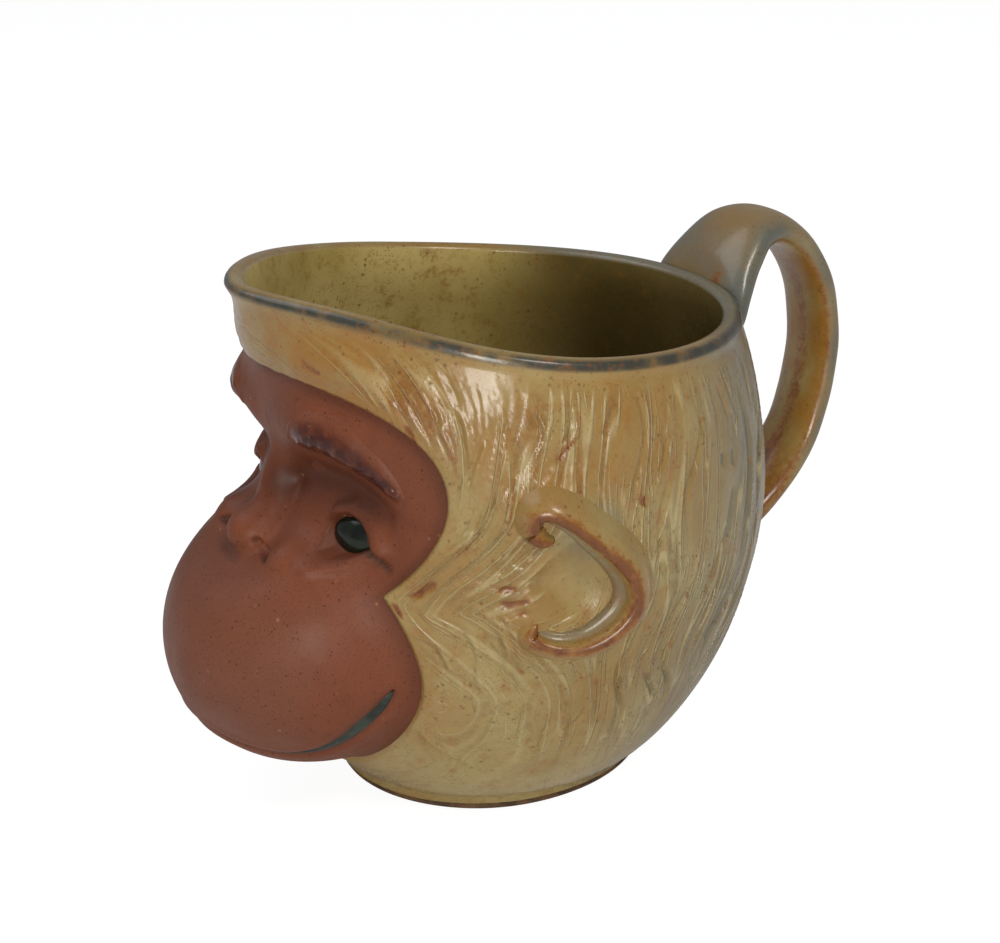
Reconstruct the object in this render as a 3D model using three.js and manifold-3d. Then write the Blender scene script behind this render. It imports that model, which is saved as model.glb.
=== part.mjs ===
import * as THREE from 'three';
import { mergeVertices } from 'three/addons/utils/BufferGeometryUtils.js';
import Module from 'manifold-3d';

// A stoneware jug shaped as a monkey's head, in millimetres. The foot's underside is the plane Z = 0 with
// its centre at the origin, the face looks along -Y, the handle is on the +Y side, and the jug is the same
// on both sides of the plane X = 0.

const wasm = await Module();
wasm.setup();

// Fit between neighbouring pieces, and how far a cutting solid runs past what it cuts
const SEAT_GAP = 0.3;
const CUT_OVERRUN = 24;

// Head body: half widths and depths, measured from the foot's centre
const FOOT_HEIGHT = 4;
const FOOT_HALF_WIDTH = 34.5;
const FOOT_HALF_DEPTH = 37;
const FOOT_CHAMFER = 1;
const BELLY_HEIGHT = 64;
const BELLY_HALF_WIDTH = 60;
const BELLY_FRONT = 50;
const BELLY_BACK = 65.3;
const LOWER_CURVE_POWER = 1.75;
const LOWER_ROUND_POWER = 1.42;

// Rim: an oval drawn out to a spout above the forehead, high at the spout and low at the handle
const RIM_HALF_WIDTH = 54.9;
const RIM_FRONT = 44.5;
const RIM_BACK = 58.2;
const SPOUT_REACH = 11.9;
const SPOUT_ANGLE = 0.54;
const SPOUT_POWER = 1.65;
const RIM_HEIGHT = 111;
const RIM_SLOPE_RISE = 8;
const RIM_DIP = 3.6;
const UPPER_CURVE_POWER = 2;
const SPOUT_CURVE_POWER = 3;
const LIP_WIDTH = 4.2;
const WALL = 4.5;
const FLOOR = 6;

// Muzzle: a tilted egg blended into the front of the head
const MUZZLE_FORWARD = 39.3;
const MUZZLE_HEIGHT = 45;
const MUZZLE_HALF_WIDTH = 36.4;
const MUZZLE_HALF_LENGTH = 39.1;
const MUZZLE_HALF_THICKNESS = 32.3;
const MUZZLE_TILT = 0.39;
const MUZZLE_BLEND = 7;

// Face panel: two overlapping ovals seen along a line that looks up at the face from in front
const PANEL_THICKNESS = 3.4;
const PANEL_VIEW_TILT = 0.436;
const BROW_OVAL_HEIGHT = 88.8;
const BROW_OVAL_HALF_WIDTH = 45.9;
const BROW_OVAL_ABOVE = 28.4;
const BROW_OVAL_BELOW = 23.5;
const JAW_OVAL_HEIGHT = 56.8;
const JAW_OVAL_HALF_WIDTH = 39.6;
const JAW_OVAL_ABOVE = 35;
const JAW_OVAL_BELOW = 28.5;

// Heights of the features, below the middle of the upper oval
const BROW_DROP = 5.4;
const EYE_DROP = 16.8;
const NOSE_DROP = 22.8;
const BROW_HEIGHT = BROW_OVAL_HEIGHT - BROW_DROP;
const EYE_HEIGHT = BROW_OVAL_HEIGHT - EYE_DROP;
const NOSE_HEIGHT = BROW_OVAL_HEIGHT - NOSE_DROP;

// Hollows and swellings of the face: sideways place, forward place, height, three spreads and depth.
// A positive depth is a hollow. Each stands on both sides of the middle and rises with its feature.
const NOSE_HOLLOW = {
  side: 0, forward: 62, feature: NOSE_HEIGHT, rise: 3, wide: 15, deep: 14, tall: 11, depth: 6.5,
};
const EYE_HOLLOW = {
  side: 25, forward: 45, feature: EYE_HEIGHT, rise: 2, wide: 9, deep: 12, tall: 7, depth: 2.2,
};
const BROW_SHADOW = {
  side: 22, forward: 46, feature: BROW_HEIGHT, rise: -0.4, wide: 15, deep: 12, tall: 6, depth: 2.4,
};
const BROW_SWELL = {
  side: 20, forward: 50, feature: BROW_HEIGHT, rise: 9.6, wide: 15, deep: 12, tall: 7, depth: -1.8,
};

// The hair's thick edge around the face: a roll over the forehead, its ends above the temples, the bulge
// beside the eyes, the point that runs in between eye and cheek, and the bulge beside the cheeks
const FOREHEAD_ROLL = {
  side: 0, forward: 52, feature: BROW_HEIGHT, rise: 26, wide: 13, deep: 12, tall: 4.5, depth: -0.7,
};
const TEMPLE_ROLL = {
  side: 22, forward: 46, feature: BROW_HEIGHT, rise: 24, wide: 12, deep: 13, tall: 4.5, depth: -1.6,
};
const TEMPLE_END = {
  side: 39, forward: 32, feature: BROW_HEIGHT, rise: 18.5, wide: 8, deep: 11, tall: 7, depth: -1.4,
};
const EYE_EDGE = {
  side: 49, forward: 27, feature: EYE_HEIGHT, rise: 11, wide: 7, deep: 8, tall: 12, depth: -1.2,
};
const CHEEK_POINT = {
  side: 42, forward: 35, feature: EYE_HEIGHT, rise: -10.5, wide: 7, deep: 7, tall: 7, depth: -1.5,
};
const CHEEK_EDGE = {
  side: 44, forward: 30, feature: EYE_HEIGHT, rise: -29, wide: 8, deep: 9, tall: 13, depth: -1.2,
};
const HEAD_FORMS = [
  NOSE_HOLLOW, EYE_HOLLOW, BROW_SHADOW, BROW_SWELL,
  FOREHEAD_ROLL, TEMPLE_ROLL, TEMPLE_END, EYE_EDGE, CHEEK_POINT, CHEEK_EDGE,
];

// Eyes: glazed pellets, by their place on the face seen from the front
const EYE_SIDE = 24.3;
const EYE_HALF_WIDTH = 4.3;
const EYE_HALF_HEIGHT = 3.9;
const EYE_HALF_DEPTH = 2.1;
const EYE_PROUD = 0.9;

// Brows: arched rolls, each point by its place seen from the front and the roll's half height there
const BROW_INNER_SIDE = 12.5;
const BROW_LENGTH = 25;
const BROW_ARCH = 10.2;
const BROW_ROLL = 4.4;
const BROW_SHARES = [
  [0, 0.92, 0.3], [0.1, 0.98, 0.62], [0.28, 1, 0.88], [0.5, 0.84, 1], [0.7, 0.6, 0.96],
  [0.88, 0.28, 0.7], [1, 0, 0.28],
];

// Nose: a snub tip between two wings
const NOSE_TIP_HALF_WIDTH = 6.4;
const NOSE_TIP_DEPTH = 6.8;
const NOSE_TIP_HALF_HEIGHT = 6;
const NOSE_WING_SIDE = 7;
const NOSE_WING_DROP = 1.6;
const NOSE_WING_HALF_WIDTH = 4.8;
const NOSE_WING_DEPTH = 4.6;
const NOSE_WING_HALF_HEIGHT = 4.2;
const NOSE_BRIDGE_RISE = 8;
const NOSE_BRIDGE_HALF_WIDTH = 4.6;
const NOSE_BRIDGE_DEPTH = 3.2;
const NOSE_BRIDGE_HALF_HEIGHT = 9;

// Mouth: a glaze-filled groove under the muzzle, wide near its corners and thin in the middle
const MOUTH_CORNER_SIDE = 34.8;
const MOUTH_CORNER_HEIGHT = 40;
const MOUTH_DROP = 19.5;
const MOUTH_ROLL = 2.3;
const MOUTH_SHARES = [
  [1, 0, 0.3], [0.95, 0.22, 0.8], [0.87, 0.46, 1], [0.76, 0.66, 0.85], [0.62, 0.82, 0.6],
  [0.42, 0.94, 0.48], [0.2, 0.99, 0.45], [0, 1, 0.45],
];

// Ears: C-shaped rolls open toward the cheek, by place along the head's side and height
const EAR_BACK = -8.6;
const EAR_HEIGHT = 69;
const EAR_HALF_LENGTH = 10.8;
const EAR_HALF_HEIGHT = 16.2;
const EAR_ROLL_HALF_WIDTH = 3.4;
const EAR_ROLL_HALF_DEPTH = 5.6;
const EAR_STAND = 3.6;
const EAR_LOBE_ANGLE = -2.62;
const EAR_CURL_ANGLE = 3.05;
const EAR_CURL_START = 1.9;
const EAR_CURL_SHARE = 0.42;
const EAR_STEPS = 26;
const EAR_END_SHARE = 0.62;

// Handle: a strap from the back of the rim to low on the back of the head
const HANDLE_TOP_DROP = 6;
const HANDLE_FOOT_HEIGHT = 42;
const HANDLE_REACH = 36;
const HANDLE_RISE = 18.5;
const HANDLE_HALF_WIDTH = 9;
const HANDLE_HALF_THICKNESS = 3.5;
const HANDLE_ROOT_HALF_WIDTH = 17;
const HANDLE_ROOT_HALF_THICKNESS = 5.6;
const HANDLE_TOP_ROOT_SHARE = 0.2;
const HANDLE_FOOT_ROOT_SHARE = 0.12;
const HANDLE_FOOT_FLARE_SHARE = 0.4;
const HANDLE_SINK = 8;
const HANDLE_STEPS = 26;
// Along the way from the top root to the bottom root: share of the way, share of the reach, share of the rise
const HANDLE_PATH_SHARES = [
  [0, 0, 0], [0, 0.09, 0.32], [0, 0.24, 0.78], [0, 0.44, 1], [0.02, 0.65, 0.93], [0.08, 0.83, 0.68],
  [0.18, 0.95, 0.34], [0.31, 1, 0.12], [0.46, 0.99, 0], [0.6, 0.92, 0], [0.74, 0.79, 0],
  [0.87, 0.57, 0], [0.96, 0.3, 0], [1, 0, 0],
];

// Fineness of the surfaces
const HEAD_SIDES = 52;
const HEAD_RINGS = 24;
const CAVITY_SIDES = 36;
const CAVITY_RINGS = 14;
const ROLL_SIDES = 10;
const HANDLE_SIDES = 12;
const BALL_SIDES = 18;
const BALL_RINGS = 12;
const OVAL_POINTS = 32;
const SEARCH_STEPS = 60;
const HALVINGS = 22;
const SLOPE_STEP = 0.2;
const FULL_TURN = 2 * Math.PI;

// Radius of an oval with one half width and separate front and back depths, at an angle from the front
function ovalRadius(angle, halfWidth, front, back) {
  const depth = Math.cos(angle) > 0 ? front : back;
  return 1 / Math.hypot(Math.sin(angle) / halfWidth, Math.cos(angle) / depth);
}

function rimRadius(angle) {
  const turn = Math.abs(Math.atan2(Math.sin(angle), Math.cos(angle)));
  const spout = SPOUT_REACH * Math.exp(-((turn / SPOUT_ANGLE) ** SPOUT_POWER));
  return ovalRadius(angle, RIM_HALF_WIDTH, RIM_FRONT, RIM_BACK) + spout;
}

function rimHeight(angle) {
  const front = Math.cos(angle);
  return RIM_HEIGHT + RIM_SLOPE_RISE * front + RIM_DIP * (front ** 2 - 1 / 2);
}

// Head radius at a height: a rounded bowl below the belly, and above it a wall that runs to the rim
function headRadius(angle, height) {
  const belly = ovalRadius(angle, BELLY_HALF_WIDTH, BELLY_FRONT, BELLY_BACK);
  if (height < BELLY_HEIGHT) {
    const foot = ovalRadius(angle, FOOT_HALF_WIDTH, FOOT_HALF_DEPTH, FOOT_HALF_DEPTH);
    const fallen = Math.min((BELLY_HEIGHT - height) / (BELLY_HEIGHT - FOOT_HEIGHT), 1);
    return foot + (belly - foot) * (1 - fallen ** LOWER_CURVE_POWER) ** (1 / LOWER_ROUND_POWER);
  }
  const risen = (height - BELLY_HEIGHT) / (rimHeight(angle) - BELLY_HEIGHT);
  const frontShare = ((1 + Math.cos(angle)) / 2) ** 2;
  const power = UPPER_CURVE_POWER + (SPOUT_CURVE_POWER - UPPER_CURVE_POWER) * frontShare;
  return belly + (rimRadius(angle) - belly) * Math.min(risen, 1) ** power;
}

// Rough distance outside the muzzle's egg
function muzzleDistance(p) {
  const y = p.y + MUZZLE_FORWARD;
  const z = p.z - MUZZLE_HEIGHT;
  const along = Math.cos(MUZZLE_TILT) * y + Math.sin(MUZZLE_TILT) * z;
  const across = Math.cos(MUZZLE_TILT) * z - Math.sin(MUZZLE_TILT) * y;
  const lengthShare = along / MUZZLE_HALF_LENGTH;
  const thicknessShare = across / MUZZLE_HALF_THICKNESS;
  return (Math.hypot(p.x / MUZZLE_HALF_WIDTH, lengthShare, thicknessShare) - 1) * MUZZLE_HALF_THICKNESS;
}

// A value that is negative inside the head: body and muzzle blended, with the hollows and swellings
function headField(p) {
  const angle = Math.atan2(p.x, -p.y);
  const body = Math.hypot(p.x, p.y) - headRadius(angle, p.z);
  const muzzle = muzzleDistance(p);
  const mix = THREE.MathUtils.clamp((1 + (muzzle - body) / MUZZLE_BLEND) / 2, 0, 1);
  let value = muzzle + (body - muzzle) * mix - MUZZLE_BLEND * mix * (1 - mix);
  for (const form of HEAD_FORMS) {
    const side = (Math.abs(p.x) - form.side) / form.wide;
    const forward = (p.y + form.forward) / form.deep;
    const rise = (p.z - form.feature - form.rise) / form.tall;
    value += form.depth * Math.exp(-(side ** 2 + forward ** 2 + rise ** 2));
  }
  return value;
}

// The field divided by its steepness, so that it reads as a distance
function headDistance(p) {
  const value = headField(p);
  const q = p.clone();
  const slopes = ['x', 'y', 'z'].map((axis) => {
    q.copy(p);
    q[axis] += SLOPE_STEP;
    return (headField(q) - value) / SLOPE_STEP;
  });
  return value / Math.max(Math.hypot(...slopes), 1 / 2);
}

// Where a line that comes from outside first meets the head, grown by some distance
const REACH = BELLY_BACK + MUZZLE_FORWARD + MUZZLE_HALF_LENGTH;
function meetHead(centre, direction, grow) {
  const at = (range) => centre.clone().addScaledVector(direction, range);
  const outside = (range) => headDistance(at(range)) > grow;
  let far = REACH;
  let near = REACH;
  for (let step = 1; step <= SEARCH_STEPS; step += 1) {
    near = REACH * (1 - step / SEARCH_STEPS);
    if (!outside(near)) break;
    far = near;
  }
  for (let halving = 0; halving < HALVINGS; halving += 1) {
    const middle = (near + far) / 2;
    if (outside(middle)) far = middle;
    else near = middle;
  }
  return at((near + far) / 2);
}

// Points of the face by their place seen from the front, and of the sides and back by their height
function facePoint(side, height, grow = 0) {
  return meetHead(new THREE.Vector3(side, 0, height), new THREE.Vector3(0, -1, 0), grow);
}

function sidePoint(back, height, grow = 0) {
  return meetHead(new THREE.Vector3(0, back, height), new THREE.Vector3(1, 0, 0), grow);
}

function outward(p) {
  const value = headField(p);
  const slopes = ['x', 'y', 'z'].map((axis) => {
    const q = p.clone();
    q[axis] += SLOPE_STEP;
    return headField(q) - value;
  });
  return new THREE.Vector3(...slopes).normalize();
}

// A closed body from rings of equally many points, each ring running anticlockwise seen from the last ring
function ringsGeometry(rings) {
  const sides = rings[0].length;
  const middle = (ring) => ring.reduce((sum, p) => sum.add(p), new THREE.Vector3()).divideScalar(sides);
  const points = [...rings.flat(), middle(rings[0]), middle(rings.at(-1))];
  const first = rings.length * sides;
  const corners = [];
  for (let side = 0; side < sides; side += 1) {
    const next = (side + 1) % sides;
    corners.push(first, next, side);
    const top = (rings.length - 1) * sides;
    corners.push(first + 1, top + side, top + next);
    for (let ring = 1; ring < rings.length; ring += 1) {
      const low = (ring - 1) * sides;
      const high = ring * sides;
      corners.push(low + side, low + next, high + next, low + side, high + next, high + side);
    }
  }
  const geometry = new THREE.BufferGeometry();
  const flat = points.flatMap((p) => [p.x, p.y, p.z]);
  geometry.setAttribute('position', new THREE.Float32BufferAttribute(flat, 3));
  geometry.setIndex(corners);
  return geometry;
}

// The head as a solid, grown or shrunk by a distance, from the floor level to the rim and past it. faceGrow
// is a further growth behind the face, and inset draws the rim in.
function headGeometry({
  sides, rings, grow = 0, faceGrow = 0, floor = FOOT_HEIGHT + SEAT_GAP, inset = 0, over = 0,
}) {
  const centre = new THREE.Vector3(0, 0, BELLY_HEIGHT);
  const rows = [];
  for (let ring = 0; ring <= rings; ring += 1) {
    const row = [];
    for (let side = 0; side < sides; side += 1) {
      const angle = (side / sides) * FULL_TURN;
      const foot = ovalRadius(angle, FOOT_HALF_WIDTH, FOOT_HALF_DEPTH, FOOT_HALF_DEPTH);
      const lowest = Math.atan2(FOOT_HEIGHT + SEAT_GAP - BELLY_HEIGHT, foot);
      const highest = Math.atan2(rimHeight(angle) - BELLY_HEIGHT, rimRadius(angle) - inset);
      const tilt = lowest + (highest - lowest) * (ring / rings);
      const flat = Math.cos(tilt);
      const direction = new THREE.Vector3(flat * Math.sin(angle), -flat * Math.cos(angle), Math.sin(tilt));
      const faceShare = THREE.MathUtils.smoothstep(Math.cos(angle), 0, 1 / 2) * (1 - (ring / rings) ** 4);
      const p = meetHead(centre, direction, grow + faceGrow * faceShare);
      p.z = Math.max(p.z, floor);
      if (ring === rings) {
        const radius = Math.min(Math.hypot(p.x, p.y), rimRadius(angle) - inset + Math.max(grow, 0));
        p.set(radius * Math.sin(angle), -radius * Math.cos(angle), rimHeight(angle));
      }
      row.push(p);
    }
    rows.push(row);
  }
  if (over > 0) rows.push(rows.at(-1).map((p) => p.clone().setZ(p.z + over)));
  return ringsGeometry(rows);
}

function solidOf(geometry) {
  const bare = geometry.index ? geometry.clone() : geometry;
  bare.deleteAttribute('normal');
  bare.deleteAttribute('uv');
  const merged = mergeVertices(bare);
  return new wasm.Manifold(new wasm.Mesh({
    numProp: 3,
    vertProperties: new Float32Array(merged.attributes.position.array),
    triVerts: new Uint32Array(merged.index.array),
  }));
}

function geometryOf(solid) {
  const mesh = solid.getMesh();
  const geometry = new THREE.BufferGeometry();
  geometry.setAttribute('position', new THREE.BufferAttribute(mesh.vertProperties, 3));
  geometry.setIndex(new THREE.BufferAttribute(mesh.triVerts, 1));
  geometry.computeVertexNormals();
  return geometry;
}

// A ball with three half sizes, centred on a point and turned so that its depth lies along a direction
function ballSolid(centre, halfWidth, halfDepth, halfHeight, facing) {
  const ball = new THREE.SphereGeometry(1, BALL_SIDES, BALL_RINGS);
  ball.scale(halfWidth, halfHeight, halfDepth);
  const turn = new THREE.Matrix4().lookAt(facing, new THREE.Vector3(), new THREE.Vector3(0, 0, 1));
  ball.applyMatrix4(turn);
  ball.translate(centre.x, centre.y, centre.z);
  return solidOf(ball);
}

// A roll of clay along a curve. shape(share) gives the half sizes of its section there: one across the
// surface that it lies on and one away from it. away(point) is the direction away from that surface.
function rollGeometry(curve, steps, sides, shape, away) {
  const rows = [];
  for (let step = 0; step <= steps; step += 1) {
    const share = step / steps;
    const centre = curve.getPoint(share);
    const along = curve.getTangent(share);
    const up = away(centre).addScaledVector(along, -away(centre).dot(along)).normalize();
    const across = new THREE.Vector3().crossVectors(up, along);
    const { wide, high } = shape(share);
    const row = [];
    for (let side = 0; side < sides; side += 1) {
      const angle = (side / sides) * FULL_TURN;
      const p = centre.clone().addScaledVector(across, wide * Math.cos(angle));
      row.push(p.addScaledVector(up, high * Math.sin(angle)));
    }
    rows.push(row);
  }
  return ringsGeometry(rows);
}

// The face panel's outline, seen along the panel's view line, carried back through the front of the head
function panelPrism(grow) {
  const oval = (height, halfWidth, above, below) => {
    const shape = new THREE.Shape();
    for (let point = 0; point < OVAL_POINTS; point += 1) {
      const angle = (point / OVAL_POINTS) * FULL_TURN;
      const tall = (Math.sin(angle) > 0 ? above : below) + grow;
      const spot = [(halfWidth + grow) * Math.cos(angle), height + tall * Math.sin(angle)];
      if (point === 0) shape.moveTo(...spot);
      else shape.lineTo(...spot);
    }
    shape.closePath();
    const prism = new THREE.ExtrudeGeometry(shape, { depth: REACH, bevelEnabled: false, steps: 1 });
    prism.translate(0, 0, -MUZZLE_HALF_WIDTH / 2);
    prism.rotateX(Math.PI / 2 + PANEL_VIEW_TILT);
    return solidOf(prism);
  };
  const brow = oval(BROW_OVAL_HEIGHT, BROW_OVAL_HALF_WIDTH, BROW_OVAL_ABOVE, BROW_OVAL_BELOW);
  const jaw = oval(JAW_OVAL_HEIGHT, JAW_OVAL_HALF_WIDTH, JAW_OVAL_ABOVE, JAW_OVAL_BELOW);
  return brow.add(jaw);
}

const headSize = { sides: HEAD_SIDES, rings: HEAD_RINGS };
const head = solidOf(headGeometry(headSize));
const headClear = solidOf(headGeometry({ ...headSize, grow: SEAT_GAP, over: CUT_OVERRUN }));
const panelBed = solidOf(headGeometry({ ...headSize, grow: -PANEL_THICKNESS, over: CUT_OVERRUN }));
const seatBed = solidOf(headGeometry({ ...headSize, grow: -PANEL_THICKNESS - SEAT_GAP, over: CUT_OVERRUN }));
const cavity = solidOf(headGeometry({
  sides: CAVITY_SIDES,
  rings: CAVITY_RINGS,
  grow: -WALL,
  faceGrow: -PANEL_THICKNESS - SEAT_GAP,
  floor: FOOT_HEIGHT + FLOOR,
  inset: LIP_WIDTH,
  over: CUT_OVERRUN,
}));

const clay = new THREE.MeshStandardMaterial({ color: 0x7c4a38, roughness: 0.72, metalness: 0 });
const strawGlaze = new THREE.MeshStandardMaterial({ color: 0xb5a273, roughness: 0.3, metalness: 0 });
const darkGlaze = new THREE.MeshStandardMaterial({ color: 0x1e241d, roughness: 0.15, metalness: 0 });
const mouthGlaze = new THREE.MeshStandardMaterial({ color: 0x3f463c, roughness: 0.4, metalness: 0 });
const browGlaze = new THREE.MeshStandardMaterial({ color: 0x6f382c, roughness: 0.35, metalness: 0 });
const handleGlaze = new THREE.MeshStandardMaterial({ color: 0x8d7a52, roughness: 0.35, metalness: 0 });
const footClay = new THREE.MeshStandardMaterial({ color: 0x5a3a24, roughness: 0.8, metalness: 0 });

const jug = new THREE.Group();

function addPiece(name, solid, material) {
  const mesh = new THREE.Mesh(geometryOf(solid), material);
  mesh.name = name;
  jug.add(mesh);
}

// Room for what is let into the face, cut from the panel and from the body behind it
function cutFaceSeats(solid) {
  const seats = [eyeSolid(1, SEAT_GAP), eyeSolid(-1, SEAT_GAP), mouthSolid(SEAT_GAP)];
  return seats.reduce((rest, seat) => rest.subtract(seat), solid);
}

function bodyShell() {
  return cutFaceSeats(head.subtract(panelPrism(SEAT_GAP).subtract(seatBed)).subtract(cavity));
}

function footDisc() {
  const row = (height, shrink) => Array.from({ length: HEAD_SIDES }, (_, side) => {
    const angle = (side / HEAD_SIDES) * FULL_TURN;
    const radius = ovalRadius(angle, FOOT_HALF_WIDTH, FOOT_HALF_DEPTH, FOOT_HALF_DEPTH) - shrink;
    return new THREE.Vector3(radius * Math.sin(angle), -radius * Math.cos(angle), height);
  });
  return solidOf(ringsGeometry([row(0, FOOT_CHAMFER), row(FOOT_CHAMFER, 0), row(FOOT_HEIGHT, 0)]));
}

function eyeSolid(hand, grow) {
  const spot = facePoint(hand * EYE_SIDE, EYE_HEIGHT);
  const facing = outward(spot);
  const centre = spot.addScaledVector(facing, EYE_PROUD - EYE_HALF_DEPTH);
  const sizes = [EYE_HALF_WIDTH, EYE_HALF_DEPTH, EYE_HALF_HEIGHT].map((size) => size + grow);
  return ballSolid(centre, ...sizes, facing);
}

function curveThrough(points) {
  return new THREE.CatmullRomCurve3(points);
}

function mouthSolid(grow) {
  const half = MOUTH_SHARES.map(([side, drop, roll]) => ({ side, drop, roll }));
  const whole = [...half, ...half.slice(0, -1).reverse().map((spot) => ({ ...spot, side: -spot.side }))];
  const points = whole.map(({ side, drop }) => (
    facePoint(side * MOUTH_CORNER_SIDE, MOUTH_CORNER_HEIGHT - drop * MOUTH_DROP)));
  const steps = 2 * (points.length - 1);
  const rollAt = (share) => {
    const place = share * (whole.length - 1);
    const low = Math.min(Math.floor(place), whole.length - 2);
    return THREE.MathUtils.lerp(whole[low].roll, whole[low + 1].roll, place - low);
  };
  const shape = (share) => {
    const size = rollAt(share) * MOUTH_ROLL + grow;
    return { wide: size, high: size };
  };
  return solidOf(rollGeometry(curveThrough(points), steps, ROLL_SIDES, shape, outward));
}

function facePanel() {
  return cutFaceSeats(head.intersect(panelPrism(0)).subtract(panelBed));
}

function brow(hand) {
  const points = BROW_SHARES.map(([side, arch]) => (
    facePoint(hand * (BROW_INNER_SIDE + side * BROW_LENGTH), BROW_HEIGHT + arch * BROW_ARCH)));
  const rollAt = (share) => {
    const place = share * (BROW_SHARES.length - 1);
    const low = Math.min(Math.floor(place), BROW_SHARES.length - 2);
    return THREE.MathUtils.lerp(BROW_SHARES[low][2], BROW_SHARES[low + 1][2], place - low);
  };
  const shape = (share) => ({ wide: rollAt(share) * BROW_ROLL, high: rollAt(share) * BROW_ROLL });
  const steps = 2 * (points.length - 1);
  return solidOf(rollGeometry(curveThrough(points), steps, ROLL_SIDES, shape, outward)).subtract(headClear);
}

function nose() {
  const facing = new THREE.Vector3(0, -1, 0);
  const tipSpot = facePoint(0, NOSE_HEIGHT);
  const tip = ballSolid(tipSpot, NOSE_TIP_HALF_WIDTH, NOSE_TIP_DEPTH, NOSE_TIP_HALF_HEIGHT, facing);
  const bridgeSpot = facePoint(0, NOSE_HEIGHT + NOSE_BRIDGE_RISE);
  let whole = tip.add(ballSolid(
    bridgeSpot, NOSE_BRIDGE_HALF_WIDTH, NOSE_BRIDGE_DEPTH, NOSE_BRIDGE_HALF_HEIGHT, outward(bridgeSpot)));
  for (const hand of [1, -1]) {
    const spot = facePoint(hand * NOSE_WING_SIDE, NOSE_HEIGHT - NOSE_WING_DROP);
    whole = whole.add(ballSolid(spot, NOSE_WING_HALF_WIDTH, NOSE_WING_DEPTH, NOSE_WING_HALF_HEIGHT, facing));
  }
  return whole.subtract(headClear);
}

function ear(hand) {
  const points = [];
  for (let step = 0; step <= EAR_STEPS; step += 1) {
    const angle = EAR_LOBE_ANGLE + (EAR_CURL_ANGLE - EAR_LOBE_ANGLE) * (step / EAR_STEPS);
    const inward = 1 - EAR_CURL_SHARE * THREE.MathUtils.smoothstep(angle, EAR_CURL_START, EAR_CURL_ANGLE);
    const back = EAR_BACK + inward * EAR_HALF_LENGTH * Math.cos(angle);
    const p = sidePoint(back, EAR_HEIGHT + inward * EAR_HALF_HEIGHT * Math.sin(angle));
    p.addScaledVector(outward(p), EAR_STAND);
    p.x *= hand;
    points.push(p);
  }
  const shape = (share) => {
    const full = EAR_END_SHARE + (1 - EAR_END_SHARE) * Math.sin(share * Math.PI);
    return { wide: full * EAR_ROLL_HALF_WIDTH, high: full * EAR_ROLL_HALF_DEPTH };
  };
  const roll = rollGeometry(curveThrough(points), EAR_STEPS, ROLL_SIDES, shape, outward);
  return solidOf(roll).subtract(headClear);
}

function handle() {
  const top = new THREE.Vector3(0, rimRadius(Math.PI), rimHeight(Math.PI) - HANDLE_TOP_DROP);
  const bottom = meetHead(new THREE.Vector3(0, 0, HANDLE_FOOT_HEIGHT), new THREE.Vector3(0, 1, 0), 0);
  const points = HANDLE_PATH_SHARES.map(([way, reach, rise]) => {
    const p = top.clone().lerp(bottom, way);
    return p.add(new THREE.Vector3(0, reach * HANDLE_REACH, rise * HANDLE_RISE));
  });
  points[0].y -= HANDLE_SINK;
  points.at(-1).y -= HANDLE_SINK;
  const shape = (share) => {
    const topShare = Math.max(1 - share / HANDLE_TOP_ROOT_SHARE, 0) ** 2;
    const footShare = Math.max(1 - (1 - share) / HANDLE_FOOT_ROOT_SHARE, 0) ** 2;
    const root = Math.max(topShare, HANDLE_FOOT_FLARE_SHARE * footShare);
    return {
      wide: THREE.MathUtils.lerp(HANDLE_HALF_WIDTH, HANDLE_ROOT_HALF_WIDTH, root),
      high: THREE.MathUtils.lerp(HANDLE_HALF_THICKNESS, HANDLE_ROOT_HALF_THICKNESS, root),
    };
  };
  const middle = new THREE.Vector3(0, top.y, (top.z + bottom.z) / 2);
  const away = (p) => p.clone().sub(middle).normalize();
  const strap = rollGeometry(curveThrough(points), HANDLE_STEPS, HANDLE_SIDES, shape, away);
  return solidOf(strap).subtract(headClear);
}

addPiece('body_shell', bodyShell(), strawGlaze);
addPiece('foot_disc', footDisc(), footClay);
addPiece('face_panel', facePanel(), clay);
addPiece('nose', nose(), clay);
addPiece('mouth_inlay', mouthSolid(0).intersect(head), mouthGlaze);
addPiece('handle', handle(), handleGlaze);
for (const [hand, side] of [[1, 'left'], [-1, 'right']]) {
  addPiece(`brow_${side}`, brow(hand), browGlaze);
  addPiece(`eye_${side}`, eyeSolid(hand, 0), darkGlaze);
  addPiece(`ear_${side}`, ear(hand), strawGlaze);
}

export default jug;
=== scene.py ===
import math
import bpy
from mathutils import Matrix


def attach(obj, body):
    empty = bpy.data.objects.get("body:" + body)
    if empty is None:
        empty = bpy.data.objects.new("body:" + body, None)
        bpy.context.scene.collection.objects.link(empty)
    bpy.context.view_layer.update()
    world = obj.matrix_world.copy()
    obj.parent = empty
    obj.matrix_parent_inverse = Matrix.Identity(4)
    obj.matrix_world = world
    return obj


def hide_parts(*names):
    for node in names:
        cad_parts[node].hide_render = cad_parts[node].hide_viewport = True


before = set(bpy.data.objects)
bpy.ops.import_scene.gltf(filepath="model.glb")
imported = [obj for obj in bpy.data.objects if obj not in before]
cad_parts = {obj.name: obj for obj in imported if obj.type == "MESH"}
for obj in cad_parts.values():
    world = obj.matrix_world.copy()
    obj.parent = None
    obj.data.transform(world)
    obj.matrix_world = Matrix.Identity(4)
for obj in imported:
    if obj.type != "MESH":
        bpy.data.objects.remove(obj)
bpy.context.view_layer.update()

from types import SimpleNamespace

import bpy
import numpy as np
from mathutils import Matrix, Vector

bl_info = {
    "name": "Monkey-head jug",
    "version": (1, 0, 0),
    "blender": (4, 5, 0),
    "location": "3D View > Sidebar > Jug",
    "description": "Dresses the packed solids of a stoneware jug shaped as a monkey's head",
    "category": "Object",
}

MM = 0.001
SEED = 19

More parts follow.
